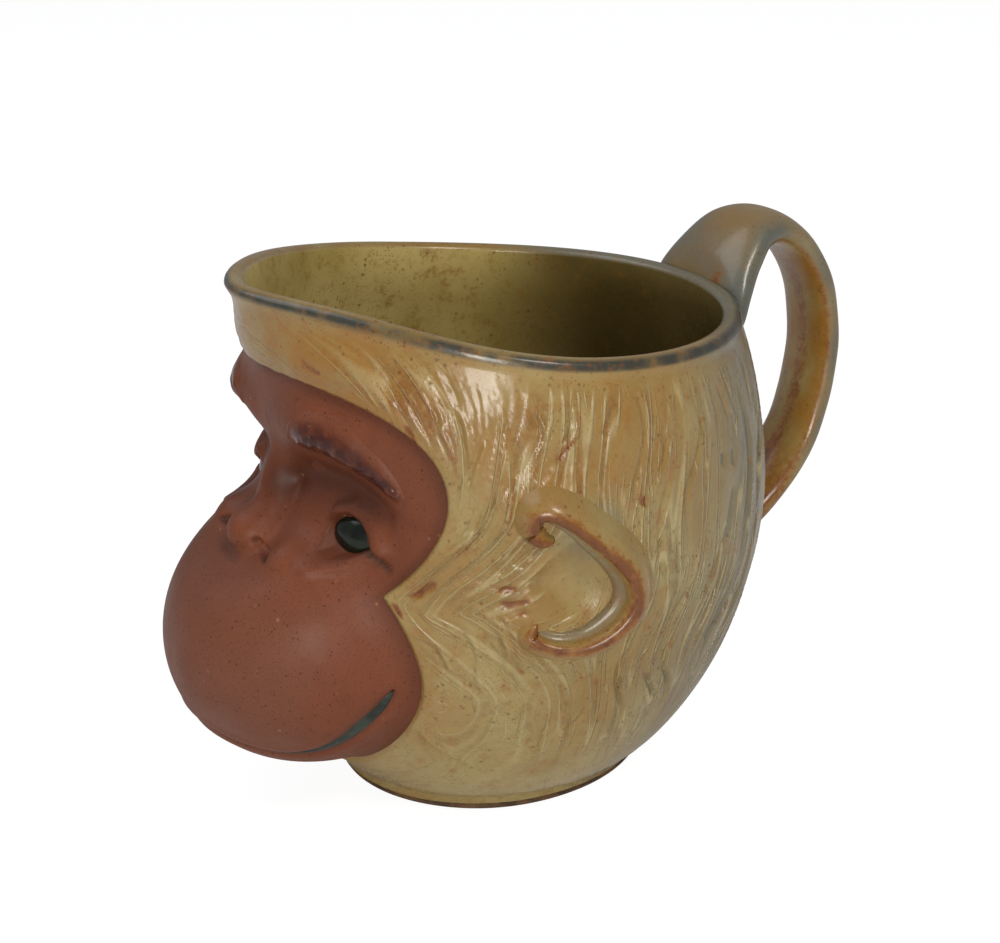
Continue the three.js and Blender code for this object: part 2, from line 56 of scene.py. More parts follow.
# Hair strokes combed into the clay of one side, each a line of (degrees from the face, mm above the ground)
HAIR_STROKES = [
    [(-4, 107.6), (2.5, 107.6), (8.6, 106.6), (19.6, 106), (26.5, 105), (30.9, 103.4), (38, 101.1)],
    [(38, 101), (43.5, 95), (46.5, 89), (47.5, 82), (46, 75), (42, 69)],
    [(43.5, 103.8), (47.7, 99.6), (50.5, 96), (53.3, 92.4), (55.7, 88.5)],
    [(51.1, 104.5), (53.3, 102.2), (53.8, 98.5), (55, 95.6), (56.2, 92.6), (57, 90.2)],
    [(55.6, 104.3), (58.1, 100.7), (59, 95.8), (59.3, 92.4), (57.7, 88), (55.9, 82.2)],
    [(62.9, 98.1), (61.4, 94.3), (60.1, 90.4), (59.1, 86.4)],
    [(66.2, 90.5), (64.5, 85.3), (62.4, 82.6), (59.3, 78.4), (55.2, 74.6), (51.4, 70.9), (46.4, 65.9)],
    [(65.2, 83.5), (62.7, 79.4), (58.8, 75), (54.3, 71.7), (48.6, 67.6), (42.9, 63.9)],
    [(68.6, 71.1), (62.8, 68.6), (57.1, 68.2)],
    [(42.9, 55.2), (47.5, 53), (51.3, 52), (54.1, 49.4)],
    [(50.4, 51.9), (52.5, 49.2), (53.4, 45.5)],
    [(55.7, 55.7), (58.4, 53.9), (59.3, 49), (58.7, 41.1)],
    [(61.4, 55.1), (63.6, 51.7), (65.2, 47.5), (62.9, 42.5)],
    [(63.4, 60.8), (65.7, 58.3), (67.3, 54.3), (68.3, 49.3)],
    [(64.1, 56.9), (65.2, 52.3), (65.6, 47.5)],
    [(50.6, 30), (61.1, 33.8), (67.9, 38.7)],
    [(84.4, 35.8), (82.7, 31.3), (78.1, 27.7)],
    [(91.2, 45.3), (90.6, 41.5), (92.2, 35.7), (95.5, 29)],
    [(96.6, 48.1), (97.1, 41.4), (102.9, 32.8), (107.4, 27.4)],
    [(103.5, 40.1), (107.8, 30.7), (106.1, 24.7)],
    [(90, 101.7), (88, 98.1), (86.2, 95.3)],
    [(93.3, 105.2), (95.6, 102), (96.6, 97.2), (95.3, 90.1), (93.1, 84.6), (93.3, 80.5), (94.4, 76.8),
     (96, 71.6)],
    [(101.7, 98.4), (101.1, 93), (101.3, 90.1), (99.5, 86.2), (96.4, 82.7), (94.9, 78.9)],
    [(102.8, 86.8), (101, 81.9), (99.4, 77.6), (98.8, 72.1), (100, 65.7), (101.8, 59.3)],
    [(109.6, 102.3), (111.9, 96.8), (112.4, 91.2), (109.8, 85.3), (106.8, 80.9), (106.2, 75.6), (106.3, 69.7),
     (107, 63.4)],
    [(120.2, 99.5), (122.2, 93.7), (122.6, 89)],
    [(117.6, 67.2), (116.1, 60.8), (112.4, 55.1), (109.4, 50.6)],
    [(120.2, 61.5), (118.1, 55.6), (115.2, 50.7), (113.5, 44.8), (112, 37.8)],
    [(134.1, 51.3), (126.5, 48.9), (121.9, 45.1), (118.3, 40.8), (116.7, 37.5)],
    [(109.5, 59.2), (105.9, 56.2), (103.5, 53), (101.9, 50.3)],
    [(98.7, 73), (98.7, 67), (100.5, 62.8), (102, 60)],
    [(104.5, 48.8), (103.1, 44.7), (102.8, 40.3), (106.5, 34.4), (106.8, 28.6)],
    [(93.4, 49.5), (91, 45.1), (90.5, 40.5), (92.3, 34.3), (96.2, 27.9)],
    [(97.5, 40.7), (101, 34.7), (105.5, 29.1)],
    [(40, 38), (43, 30), (50, 22), (60, 16)],
    [(10, 9), (30, 12), (48, 13), (66, 12)],
    [(128, 98), (132, 84), (130, 70), (127, 58)],
    [(139.5, 96), (141, 84), (137, 70), (134, 58), (130, 44), (126, 32), (122, 22)],
    [(150, 100), (152, 88), (148, 74), (147, 58), (142, 44), (138, 30), (134, 20)],
    [(160, 98), (163, 84), (160, 70), (161, 56), (155, 40), (150, 26)],
    [(172, 90), (170, 74), (173, 60), (168, 44), (164, 28)],
    [(180, 84), (180, 66), (180, 48), (180, 28)],
    [(72, 104), (74, 98), (72, 94), (70, 90)],
    [(80, 103), (80, 98), (76, 94)],
]
# Strokes whose glaze broke dark brown, and grooves where the glaze pooled slate grey
BROWN_STROKES = [
    [(16.4, 110.4), (23, 108), (27.7, 106), (34.5, 104.1), (37, 102.2)],
    [(52.8, 67.3), (48.4, 64), (44.7, 61.4)],
    [(61.8, 66.8), (65.9, 66.1), (70, 67.1)],
    [(63.1, 63.3), (67.4, 62.9), (72.1, 64.3)],
    [(65.4, 60.4), (67.3, 59.7), (71.7, 61.6)],
    [(68, 69), (72, 69.8), (75, 68)],
    [(81.8, 97.3), (79.4, 94.5), (76, 92)],
    [(102.1, 77.7), (101.1, 73.2), (100, 69.8)],
    [(96.2, 85), (95.2, 82), (94.6, 79)],
    [(41.6, 93), (44, 88.5), (45, 84)],
    [(46.2, 100), (48.4, 97.2), (49.8, 94)],
    [(41.5, 61.5), (43.5, 58), (44.5, 54)],
    [(66.5, 52), (68.6, 49), (69.6, 45)],
]
SLATE_STROKES = [
    [(119.8, 84.5), (118.4, 81)],
    [(123.7, 84), (122.9, 79.4)],
    [(123.4, 76.7), (121.3, 70.2), (120, 66.5), (117.7, 62)],
    [(146.7, 84), (139.5, 78.6), (136.7, 70), (137.8, 58)],
    [(131, 90), (131.5, 78), (128, 66), (125, 55)],
    [(124, 58), (121, 50), (118.5, 42), (117, 34)],
    [(130.5, 50), (127, 40), (123, 30)],
    [(141, 52), (137, 40), (132, 28)],
    [(154, 80), (156, 66), (152, 52), (149, 40)],
    [(166, 84), (166.5, 70), (168, 56), (162, 42)],
]


def linear(code):
    """The linear RGBA of an sRGB hex colour."""
    parts = [int(code[i:i + 2], 16) / 255 for i in (1, 3, 5)]
    return [p / 12.92 if p <= 0.04045 else ((p + 0.055) / 1.055) ** 2.4 for p in parts] + [1.0]


def length(name, default, description):
    """A length property, its default given in millimetres."""
    return bpy.props.FloatProperty(
        name=name, description=description, default=default * MM, unit="LENGTH", subtype="DISTANCE",
        precision=5)


def share(name, default, description):
    """A plain number without a unit."""
    return bpy.props.FloatProperty(name=name, description=description, default=default, subtype="FACTOR")


def turn(name, default, description):
    """An angle in radians."""
    return bpy.props.FloatProperty(
        name=name, description=description, default=default, unit="ROTATION", subtype="ANGLE")


def colour(name, code, description):
    """A colour property, its default given as sRGB hex."""
    return bpy.props.FloatVectorProperty(
        name=name, description=description, default=linear(code), size=4, min=0, max=1, subtype="COLOR")


class JugHead(bpy.types.PropertyGroup):
    """Sizes of the head, as the solids have them."""
    foot_height: length("Foot height", 4, "Height of the foot disc")
    foot_half_width: length("Foot half width", 34.5, "Half the foot's width")
    foot_half_depth: length("Foot half depth", 37, "Half the foot's depth")
    belly_height: length("Belly height", 64, "Height of the widest part")
    belly_half_width: length("Belly half width", 60, "Half the width of the widest part")
    belly_front: length("Belly front", 50, "Depth of the belly toward the face")
    belly_back: length("Belly back", 65.3, "Depth of the belly toward the handle")
    lower_curve: share("Lower curve", 1.75, "How late the wall falls in toward the foot")
    lower_round: share("Lower round", 1.42, "How round the lower wall is")
    rim_half_width: length("Rim half width", 54.9, "Half the rim's width")
    rim_front: length("Rim front", 44.5, "Depth of the rim's oval toward the spout")
    rim_back: length("Rim back", 58.2, "Depth of the rim's oval toward the handle")
    spout_reach: length("Spout reach", 11.9, "How far the spout is drawn out of the oval")
    spout_angle: turn("Spout angle", 0.54, "Half angle of the spout")
    spout_power: share("Spout power", 1.65, "How pointed the spout is")
    rim_height: length("Rim height", 111, "Mean height of the rim")
    rim_slope: length("Rim slope", 8, "Rise of the rim toward the spout")
    rim_dip: length("Rim dip", 3.6, "Dip of the rim at its sides")
    lip_width: length("Lip width", 4.2, "Width of the rounded lip")
    wall: length("Wall", 4.5, "Thickness of the wall")
    floor: length("Floor", 6, "Thickness of the floor above the foot")
    muzzle_forward: length("Muzzle forward", 39.3, "Place of the muzzle's middle in front of the foot's middle")
    muzzle_height: length("Muzzle height", 45, "Height of the muzzle's middle")
    muzzle_half_width: length("Muzzle half width", 36.4, "Half the muzzle's width")
    muzzle_half_length: length("Muzzle half length", 39.1, "Half the muzzle's length")
    muzzle_half_thickness: length("Muzzle half thickness", 32.3, "Half the muzzle's thickness")
    muzzle_tilt: turn("Muzzle tilt", 0.39, "How far the muzzle looks up")
    muzzle_blend: length("Muzzle blend", 7, "Softness of the crease around the muzzle")


class JugFace(bpy.types.PropertyGroup):
    """Sizes of the bare face and of what is set on it."""
    view_tilt: turn("View tilt", 0.436, "Tilt of the line along which the face's outline is two ovals")
    brow_oval_height: length("Brow oval height", 88.8, "Middle of the upper oval along the tilted view")
    brow_oval_half_width: length("Brow oval half width", 45.9, "Half width of the upper oval")
    brow_oval_above: length("Brow oval above", 28.4, "Reach of the upper oval upward")
    brow_oval_below: length("Brow oval below", 23.5, "Reach of the upper oval downward")
    jaw_oval_height: length("Jaw oval height", 56.8, "Middle of the lower oval along the tilted view")
    jaw_oval_half_width: length("Jaw oval half width", 39.6, "Half width of the lower oval")
    jaw_oval_above: length("Jaw oval above", 35, "Reach of the lower oval upward")
    jaw_oval_below: length("Jaw oval below", 28.5, "Reach of the lower oval downward")
    tuck: length("Tuck", 1.6, "How far the face runs on under the hair")
    back: length("Back", 2.6, "Thickness of the face")
    thickness: length("Thickness", 3.7, "How much thicker the wall is behind the face")
    ledge: length("Ledge", 1.1, "How far the hair stands over the face's edge")
    eye_side: length("Eye side", 23.9, "Distance of an eye from the middle")
    eye_height: length("Eye height", 71.6, "Height of the eyes")
    eye_half_width: length("Eye half width", 4.9, "Half width of an eye")
    eye_half_height: length("Eye half height", 3.9, "Half height of an eye")
    eye_dome: length("Eye dome", 1.5, "How far an eye bulges out of its lids")


class JugTrim(bpy.types.PropertyGroup):
    """Place of the ears and sizes of the handle's strap."""
    ear_back: length("Ear back", -8.3, "Place of the ear's middle behind the foot's middle")
    ear_height: length("Ear height", 69, "Height of the ear's middle")
    handle_half_width: length("Handle half width", 9, "Half width of the strap")
    handle_half_thickness: length("Handle half thickness", 3.5, "Half thickness of the strap")


class JugColours(bpy.types.PropertyGroup):
    """Colours of the glazes and the clay."""
    straw: colour("Straw", "#886e3b", "Straw glaze over the hair")
    cream: colour("Cream", "#978655", "Thin pale glaze on the ridges")
    honey: colour("Honey", "#8c6328", "Warm glaze about the forehead and the ears")
    rust: colour("Rust", "#5a2c0a", "Iron brown where the glaze breaks")
    # Slate: pooled glaze, and also painted shade in the ears' hollows
    slate: colour("Slate", "#525a56", "Grey-blue glaze pooled in the grooves")
    # Olive: the inside glaze, painted paler to stand in for the light inside the jug
    olive: colour("Olive", "#c4b072", "Glaze inside the jug")
    clay: colour("Clay", "#693822", "Bare red-brown stoneware")
    # Dark clay: the clay's dark specks, and painted shade in the hollows
    clay_dark: colour("Dark clay", "#401f11", "Clay in the hollows and its specks")
    # Mauve: colour of a painted sheen on the muzzle and forehead
    mauve: colour("Mauve", "#6c4332", "Worn sheen on the muzzle")
    eye: colour("Eye", "#0b0f0b", "Green-black glaze of the eyes")
    foot: colour("Foot", "#3c2817", "Bare foot")
    paper: colour("Paper", "#ffffff", "Floor and backdrop")


# Tones beside the colours of the panel: of the hair's glaze, the inside, the marks, the clay and the rest
RIDGE, FURROW, COMBED_PALE, COMBED_BROWN = map(linear, ("#a89a69", "#74602c", "#b5aa7f", "#694c20"))
OLIVE_STAIN, OLIVE_PAINTED_SHADE, WORN_LIP, FOOT_RUBBED = map(linear, ("#a89452", "#2c210a", "#34362f", "#6a4c2a"))
BLOTCH, RUST_EDGE, TAWNY, IRON_SPECK = map(linear, ("#80602e", "#7f5120", "#8a5924", "#5f370f"))
CLAY_LIGHT, CLAY_CLOUD, PURPLE_WASH, GREY_INK, SAND_SPECK = map(
    linear, ("#764028", "#592c18", "#3a1d1a", "#20261f", "#c7a06c"))
EYE_DEEP, POOL_DARK, POOL_GREY, PAPER_LIT, ROOM = map(
    linear, ("#141a10", "#171d19", "#2b342e", "#e9e9e9", "#dfe3e8"))


def millimetres(group):
    """The group's values by name, lengths in millimetres."""
    values = {}
    for key, prop in group.bl_rna.properties.items():
        if key in ("rna_type", "name"):
            continue
        value = getattr(group, key)
        values[key] = value / MM if getattr(prop, "unit", "NONE") == "LENGTH" else value
    return SimpleNamespace(**values)


def sizes(context, *parts):
    """The values of those of the jug's property groups."""
    return [millimetres(getattr(context.scene, "jug_" + part)) for part in parts]


def unit(vectors):
    """The vectors brought to length 1."""
    return vectors / np.linalg.norm(vectors, axis=-1, keepdims=True)


def smoothstep(low, high, value):
    """0 below low, 1 above high, and an S-curve between them."""
    t = np.clip((value - low) / (high - low), 0, 1)
    return t * t * (3 - 2 * t)


def bump(value, centre, spread):
    """A bell curve of height 1."""
    return np.exp(-((value - centre) / spread) ** 2)


def oval_radius(angle, half_width, front, back):
    """Radius of an oval with its own depth in front and behind:
    1 / root((sin / half width)^2 + (cos / depth)^2)."""
    depth = np.where(np.cos(angle) > 0, front, back)
    return 1 / np.hypot(np.sin(angle) / half_width, np.cos(angle) / depth)


def foot_radius(head, angle):
    """Radius of the foot's oval."""
    return oval_radius(angle, head.foot_half_width, head.foot_half_depth, head.foot_half_depth)


def rim_radius(head, angle):
    """The rim's oval plus the spout, reach times e to the -(angle / spout angle)^power."""
    turned = np.abs(np.arctan2(np.sin(angle), np.cos(angle)))
    spout = head.spout_reach * np.exp(-((turned / head.spout_angle) ** head.spout_power))
    return oval_radius(angle, head.rim_half_width, head.rim_front, head.rim_back) + spout


def rim_height(head, angle):
    """Mean height + slope cos(angle) + dip (cos(angle)^2 - 1/2)."""
    front = np.cos(angle)
    return head.rim_height + head.rim_slope * front + head.rim_dip * (front ** 2 - 0.5)


def head_radius(head, angle, height):
    """Radius of the bowl, t being how far it is from the belly to the foot or to the rim: below the belly
    foot + (belly - foot)(1 - t^a)^(1/b), above it belly + (rim - belly) t^c."""
    belly = oval_radius(angle, head.belly_half_width, head.belly_front, head.belly_back)
    foot = foot_radius(head, angle)
    fallen = np.clip((head.belly_height - height) / (head.belly_height - head.foot_height), 0, 1)
    low = foot + (belly - foot) * (1 - fallen ** head.lower_curve) ** (1 / head.lower_round)
    risen = np.clip((height - head.belly_height) / (rim_height(head, angle) - head.belly_height), 0, 1)
    power = 2 + ((1 + np.cos(angle)) / 2) ** 2
    high = belly + (rim_radius(head, angle) - belly) * risen ** power
    return np.where(height < head.belly_height, low, high)


# Soft forms of the face: side, depth and height of the middle, the three spreads, and how far the skin sinks in
SOFT_FORMS = [
    (0, -62, 69, 15, 14, 11, 6.5), (25, -45, 74, 9, 12, 7, 2.2), (22, -46, 83, 15, 12, 6, 2.4),
    (20, -50, 93, 15, 12, 7, -1.8),
]


def smooth_min(a, b, softness):
    """The lesser of two fields, with a fillet of that softness where they meet."""
    mix = np.clip(0.5 + 0.5 * (b - a) / softness, 0, 1)
    return b + (a - b) * mix - softness * mix * (1 - mix)


def egg(points, centre, radii, tilt=0.0):
    """Rough distance outside an egg, tilted about the X axis."""
    x, y, z = (points[..., i] - centre[i] for i in range(3))
    along = math.cos(tilt) * y + math.sin(tilt) * z
    across = math.cos(tilt) * z - math.sin(tilt) * y
    size = np.sqrt((x / radii[0]) ** 2 + (along / radii[1]) ** 2 + (across / radii[2]) ** 2)
    return (size - 1) * min(radii)


def head_field(head, points):
    """Negative inside the head: the bowl and the muzzle's egg blended, with the soft forms of the face."""
    x, y, z = points[..., 0], points[..., 1], points[..., 2]
    bowl = np.hypot(x, y) - head_radius(head, np.arctan2(x, -y), z)
    radii = (head.muzzle_half_width, head.muzzle_half_length, head.muzzle_half_thickness)
    muzzle = egg(points, (0, -head.muzzle_forward, head.muzzle_height), radii, head.muzzle_tilt)
    field = smooth_min(bowl, muzzle, head.muzzle_blend)
    for side, front, height, wide, deep, tall, depth in SOFT_FORMS:
        spread = ((np.abs(x) - side) / wide) ** 2 + ((y - front) / deep) ** 2 + ((z - height) / tall) ** 2
        field = field + depth * np.exp(-spread)
    return field


def head_distance(head, points, step=0.2):
    """The head's field divided by its steepness, so that it reads as a distance."""
    value = head_field(head, points)
    slopes = [(head_field(head, points + step * np.eye(3)[axis]) - value) / step for axis in range(3)]
    return value / np.maximum(np.sqrt(sum(slope ** 2 for slope in slopes)), 0.5)


# Height at which the head's skin starts, how far it stands over the foot there, and how far to either side of
# the coarse table the skin is looked for
SKIN_START, FOOT_STEP, NEAR_TABLE = 1.5, 0.25, 1.6


def meet(field, origin, rays, first, last, steps, halvings=14):
    """Distance along each ray, coming in from first to last, at which the field turns negative."""
    far = np.broadcast_to(first, rays.shape[:-1]).astype(float).copy()
    near = np.broadcast_to(last, rays.shape[:-1]).astype(float).copy()
    stride = (far - near) / steps
    before = start = far.copy()
    found = np.zeros(far.shape, bool)
    for step in range(1, steps + 1):
        after = start - stride * step
        inside = field(origin + rays * after[..., None]) < 0
        new = inside & ~found
        near = np.where(new, after, near)
        far = np.where(new, before, far)
        found |= inside
        before = after
    for _ in range(halvings):
        middle = (near + far) / 2
        inside = field(origin + rays * middle[..., None]) < 0
        near = np.where(inside, middle, near)
        far = np.where(inside, far, middle)
    return (near + far) / 2


def head_rays(head, angle, height_share):
    """Unit rays from the middle of the head, fanned at each angle from the foot's edge to the rim's edge."""
    low = np.arctan2(SKIN_START - head.belly_height, foot_radius(head, angle) + FOOT_STEP)
    high = np.arctan2(rim_height(head, angle) - head.belly_height, rim_radius(head, angle))
    rise = low + (high - low) * height_share
    return np.stack([np.cos(rise) * np.sin(angle), -np.cos(rise) * np.cos(angle), np.sin(rise)], -1)


def head_middle(head):
    """The point that the head's rays start from."""
    return np.array([0, 0, head.belly_height])


def rough_reach(head):
    """A coarse table of how far the skin is from the middle, by angle and height share."""
    angle, rise = np.meshgrid(np.linspace(-np.pi, np.pi, 145), np.linspace(0, 1, 81), indexing="ij")
    rays = head_rays(head, angle, rise)
    return meet(lambda p: head_field(head, p), head_middle(head), rays, 112.0, 20.0, 110)


def look_up(table, first, second):
    """Bilinear look-up with positions in table steps; the first axis and the second are clamped."""
    a = np.clip(first, 0, table.shape[0] - 1.001)
    b = np.clip(second, 0, table.shape[1] - 1.001)
    i, j = a.astype(int), b.astype(int)
    s, t = a - i, b - j
    return (table[i, j] * (1 - s) * (1 - t) + table[i + 1, j] * s * (1 - t)
            + table[i, j + 1] * (1 - s) * t + table[i + 1, j + 1] * s * t)


def skin(head, table, angle, rise):
    """Points of the head's skin, refined about the coarse table."""
    wrapped = np.arctan2(np.sin(angle), np.cos(angle))
    rows, columns = table.shape
    rough = look_up(table, (wrapped + np.pi) / (2 * np.pi) * (rows - 1), rise * (columns - 1))
    rays = head_rays(head, angle, rise)
    reach = meet(
        lambda p: head_field(head, p), head_middle(head), rays, rough + NEAR_TABLE, rough - NEAR_TABLE, 4, 11)
    return head_middle(head) + rays * reach[..., None]


def grid_normals(points):
    """Unit normals of a grid of points, from the cross product of its two slopes."""
    normal = np.cross(np.gradient(points, axis=0), np.gradient(points, axis=1))
    return normal / np.maximum(np.linalg.norm(normal, axis=-1, keepdims=True), 1e-9)


# Depth behind which there is no face
FACE_BACK = -22


def mask_distance(face, points):
    """Distance outside the face's outline, two ovals seen along the tilted view, growing behind the temples."""
    x, y, z = points[..., 0], points[..., 1], points[..., 2]
    up = -y * math.sin(face.view_tilt) + z * math.cos(face.view_tilt)
    ovals = []
    for height, half_width, above, below in (
            (face.brow_oval_height, face.brow_oval_half_width, face.brow_oval_above, face.brow_oval_below),
            (face.jaw_oval_height, face.jaw_oval_half_width, face.jaw_oval_above, face.jaw_oval_below)):
        rise = up - height
        size = np.maximum(np.hypot(x / half_width, rise / np.where(rise > 0, above, below)), 1e-6)
        ovals.append(np.hypot(x, rise) * (1 - 1 / size))
    return np.minimum(*ovals) + 3 * np.maximum(y - FACE_BACK, 0)


def line_distance(first, second, line):
    """Distance of points in a plane from a polyline, and how far along it, 0 to 1, the nearest place lies."""
    line = np.asarray(line, float)
    steps = np.linalg.norm(np.diff(line, axis=0), axis=1)
    begun = np.concatenate([[0], np.cumsum(steps)])
    best = np.full(first.shape, 1e9)
    along = np.zeros(first.shape)
    for k, (a, b) in enumerate(zip(line, line[1:])):
        d = b - a
        t = np.clip(((first - a[0]) * d[0] + (second - a[1]) * d[1]) / max(d @ d, 1e-9), 0, 1)
        distance = np.hypot(first - a[0] - t * d[0], second - a[1] - t * d[1])
        closer = distance < best
        best = np.where(closer, distance, best)
        along = np.where(closer, (begun[k] + t * steps[k]) / begun[-1], along)
    return best, along


# The hair's chart: its step and height, and the radius that turns angles into millimetres
CHART_STEP = 0.4
CHART_RADIUS = 60.0
CHART_TOP = 124.0


def smooth_line(line, count=24):
    """Points along a Catmull-Rom curve through the line's points."""
    p = np.asarray(line, float)
    p = np.concatenate([[2 * p[0] - p[1]], p, [2 * p[-1] - p[-2]]])
    t = np.linspace(0, len(p) - 3.0001, count)
    i = t.astype(int)
    s = (t - i)[:, None]
    a, b, c, d = p[i], p[i + 1], p[i + 2], p[i + 3]
    return 0.5 * (2 * b + (c - a) * s + (2 * a - 5 * b + 4 * c - d) * s ** 2 + (3 * b - a - 3 * c + d) * s ** 3)


def both_sides(lines, random, jitter):
    """The strokes in chart millimetres, on the side they were drawn for and, a little shifted, on the other."""
    out = []
    for line in lines:
        curve = smooth_line(line)
        curve = np.stack([np.radians(curve[:, 0]) * CHART_RADIUS, curve[:, 1]], 1)
        out += [curve, curve * (-1, 1) + random.normal(0, jitter, 2)]
    return out


def potential(slopes):
    """The table whose slopes come closest to those given.

    The slopes are mirrored at both edges and Fourier transformed; with wave numbers u and v the table's transform
    is -i (u first + v second) / (u^2 + v^2)."""
    first, second = slopes[..., 0], slopes[..., 1]
    first = np.concatenate([first, -first[::-1]], 0)
    second = np.concatenate([second, second[::-1]], 0)
    first = np.concatenate([first, first[:, ::-1]], 1)
    second = np.concatenate([second, -second[:, ::-1]], 1)
    u = 2 * np.pi * np.fft.fftfreq(first.shape[0])[:, None]
    v = 2 * np.pi * np.fft.fftfreq(first.shape[1])[None]
    square = u ** 2 + v ** 2
    square[0, 0] = 1
    table = np.fft.ifft2(-1j * (u * np.fft.fft2(first) + v * np.fft.fft2(second)) / square).real
    return table[:slopes.shape[0], :slopes.shape[1]]


class HairChart:
    """The hair laid flat: millimetres round the head, at a mean radius, by millimetres above the foot.

    Noise smeared along the flow of the guide strokes gives combed relief; drawn strokes are cut in on top."""

    def __init__(self):
        random = np.random.default_rng(SEED)
        self.width, self.height = int(round(2 * np.pi * CHART_RADIUS / CHART_STEP)), int(CHART_TOP / CHART_STEP)
        u = (np.arange(self.width) / self.width - 0.5) * 2 * np.pi * CHART_RADIUS
        self.u, self.v = np.meshgrid(u, np.arange(self.height) * CHART_STEP, indexing="ij")
        strokes = both_sides(HAIR_STROKES, random, 0.8)
        brown = both_sides(BROWN_STROKES, random, 1.2)
        slate = both_sides(SLATE_STROKES, random, 1.2)
        self.flow = self.flow_along(strokes + brown + slate)
        fine, broad, lock = (
            self.smear(self.noise(random, cell), reach) for cell, reach in ((1, 26), (3, 44), (8, 60)))
        comb = -0.30 * smoothstep(0.35, 1.7, -fine) + 0.20 * smoothstep(0.6, 1.9, fine)
        comb += -0.22 * smoothstep(0.4, 1.8, -broad) + 0.20 * smoothstep(0.5, 1.8, broad)
        comb += 0.22 * np.clip(lock, -2, 2)
        cut = np.zeros_like(comb)
        for line in strokes:
            cut += self.stroke(line, -0.42, 0.55) + self.stroke(line + (1.15, 0.2), 0.24, 0.45)
        patchy = smoothstep(-0.7, 0.8, self.smear(self.noise(random, 4), 10))
        self.brown = np.clip(sum(self.stroke(line, 1.0, 0.85) for line in brown) * patchy * 1.3, 0, 1)
        self.slate = np.clip(sum(self.stroke(line, 1.0, 1.1) for line in slate), 0, 1)
        cut += -0.38 * self.brown - 0.45 * self.slate
        self.comb, self.cut = comb, cut
        self.strands()
        self.groove = smoothstep(0.2, 1.7, -fine) * 0.6 + smoothstep(0.3, 1.8, -broad) * 0.4
        self.groove -= np.clip(cut, -1, 0)
        self.ridge = smoothstep(0.4, 1.8, fine) * 0.6 + np.clip(cut, 0, 1) * 2

    def strands(self):
        """Tables for one side of the millimetres across the strands and along them."""
        flow = self.flow[self.width // 2:]
        height = self.v[self.width // 2:]
        lean = smoothstep(94, 100, height) - 0.5
        sense = np.where(flow[..., 0] * lean - flow[..., 1] < 0, -1.0, 1.0)
        along = flow * sense[..., None]
        self.across = potential(np.stack([-along[..., 1], along[..., 0]], -1)) * CHART_STEP
        self.along = potential(along) * CHART_STEP

    def at_side(self, table, angle, height):
        """The value, at an angle and a height, of a table that both sides share."""
        turned = np.abs(np.arctan2(np.sin(angle), np.cos(angle)))
        return look_up(table, turned * CHART_RADIUS / CHART_STEP, height / CHART_STEP)

    def noise(self, random, cell):
        """Random numbers in cells that many steps wide, softened at their edges."""
        rough = random.normal(0, 1, (self.width // cell + 1, self.height // cell + 2))
        rough[-1] = rough[0]
        a, b = np.meshgrid(np.arange(self.width) / cell, np.arange(self.height) / cell, indexing="ij")
        return look_up(rough, a, b)

    def flow_along(self, lines):
        """Unit flow blended from the strokes' directions, as twice the angle so that both senses count alike.

        Each stroke weighs by a bell curve of its distance and, to fill the gaps, by a broad faint one."""
        step = 8
        u, v = self.u[::step, ::step], self.v[::step, ::step]
        twice = np.stack([np.full(u.shape, -0.02), np.zeros(u.shape)], -1)
        around = 2 * np.pi * CHART_RADIUS
        for line in lines:
            middle = (line[1:] + line[:-1]) / 2
            heading = np.arctan2(*(line[1:] - line[:-1])[:, ::-1].T)
            for (pu, pv), angle in zip(middle[::2], heading[::2]):
                du = (u - pu + around / 2) % around - around / 2
                square = du ** 2 + (v - pv) ** 2
                weight = np.exp(-square / (2 * 5.5 ** 2)) + 0.02 * np.exp(-square / 800)
                twice[..., 0] += weight * np.cos(2 * angle)
                twice[..., 1] += weight * np.sin(2 * angle)
        a, b = np.meshgrid(np.arange(self.width) / step, np.arange(self.height) / step, indexing="ij")
        wide = np.concatenate([twice, twice[:1]], 0)
        angle = np.arctan2(look_up(wide[..., 1], a, b), look_up(wide[..., 0], a, b)) / 2
        return np.stack([np.cos(angle), np.sin(angle)], -1)

    def smear(self, noise, reach):
        """Noise averaged along the flow for that many steps each way, brought to mean 0 and spread 1."""
        total = noise.copy()
        for sense in (1, -1):
            a, b = np.meshgrid(np.arange(self.width) * 1.0, np.arange(self.height) * 1.0, indexing="ij")
            heading = self.flow * sense
            for step in range(1, reach + 1):
                a = (a + heading[..., 0]) % self.width
                b = np.clip(b + heading[..., 1], 0, self.height - 1)
                i, j = a.astype(int) % self.width, b.astype(int)
                flow = self.flow[i, j]
                same = np.where((flow * heading).sum(-1, keepdims=True) < 0, -1.0, 1.0)
                heading = flow * same
                total += noise[i, j] * (0.5 + 0.5 * math.cos(math.pi * step / (reach + 1)))
        return (total - total.mean()) / total.std()

    def stroke(self, line, depth, half_width):
        """A groove or ridge along a line, tapered at both ends."""
        out = np.zeros_like(self.u)
        low = line.min(0) - 4 * half_width
        high = line.max(0) + 4 * half_width
        near = (self.u > low[0]) & (self.u < high[0]) & (self.v > low[1]) & (self.v < high[1])
        if near.any():
            distance, along = line_distance(self.u[near], self.v[near], line)
            taper = smoothstep(0, 0.22, along) * smoothstep(0, 0.3, 1 - along)
            out[near] = depth * np.exp(-(distance / (half_width * (0.45 + 0.55 * taper))) ** 2) * taper
        return out

    def at(self, table, angle, height):
        """The table's value at an angle and a height."""
        turned = (np.arctan2(np.sin(angle), np.cos(angle)) / (2 * np.pi) + 0.5) * self.width % self.width
        return look_up(np.concatenate([table, table[:1]]), turned, height / CHART_STEP)


def paint(shape, *channels):
    """Colour values of that shape from three channels, each a number or a table."""
    return np.stack([np.broadcast_to(channel, shape) for channel in (*channels, 1.0)], -1)


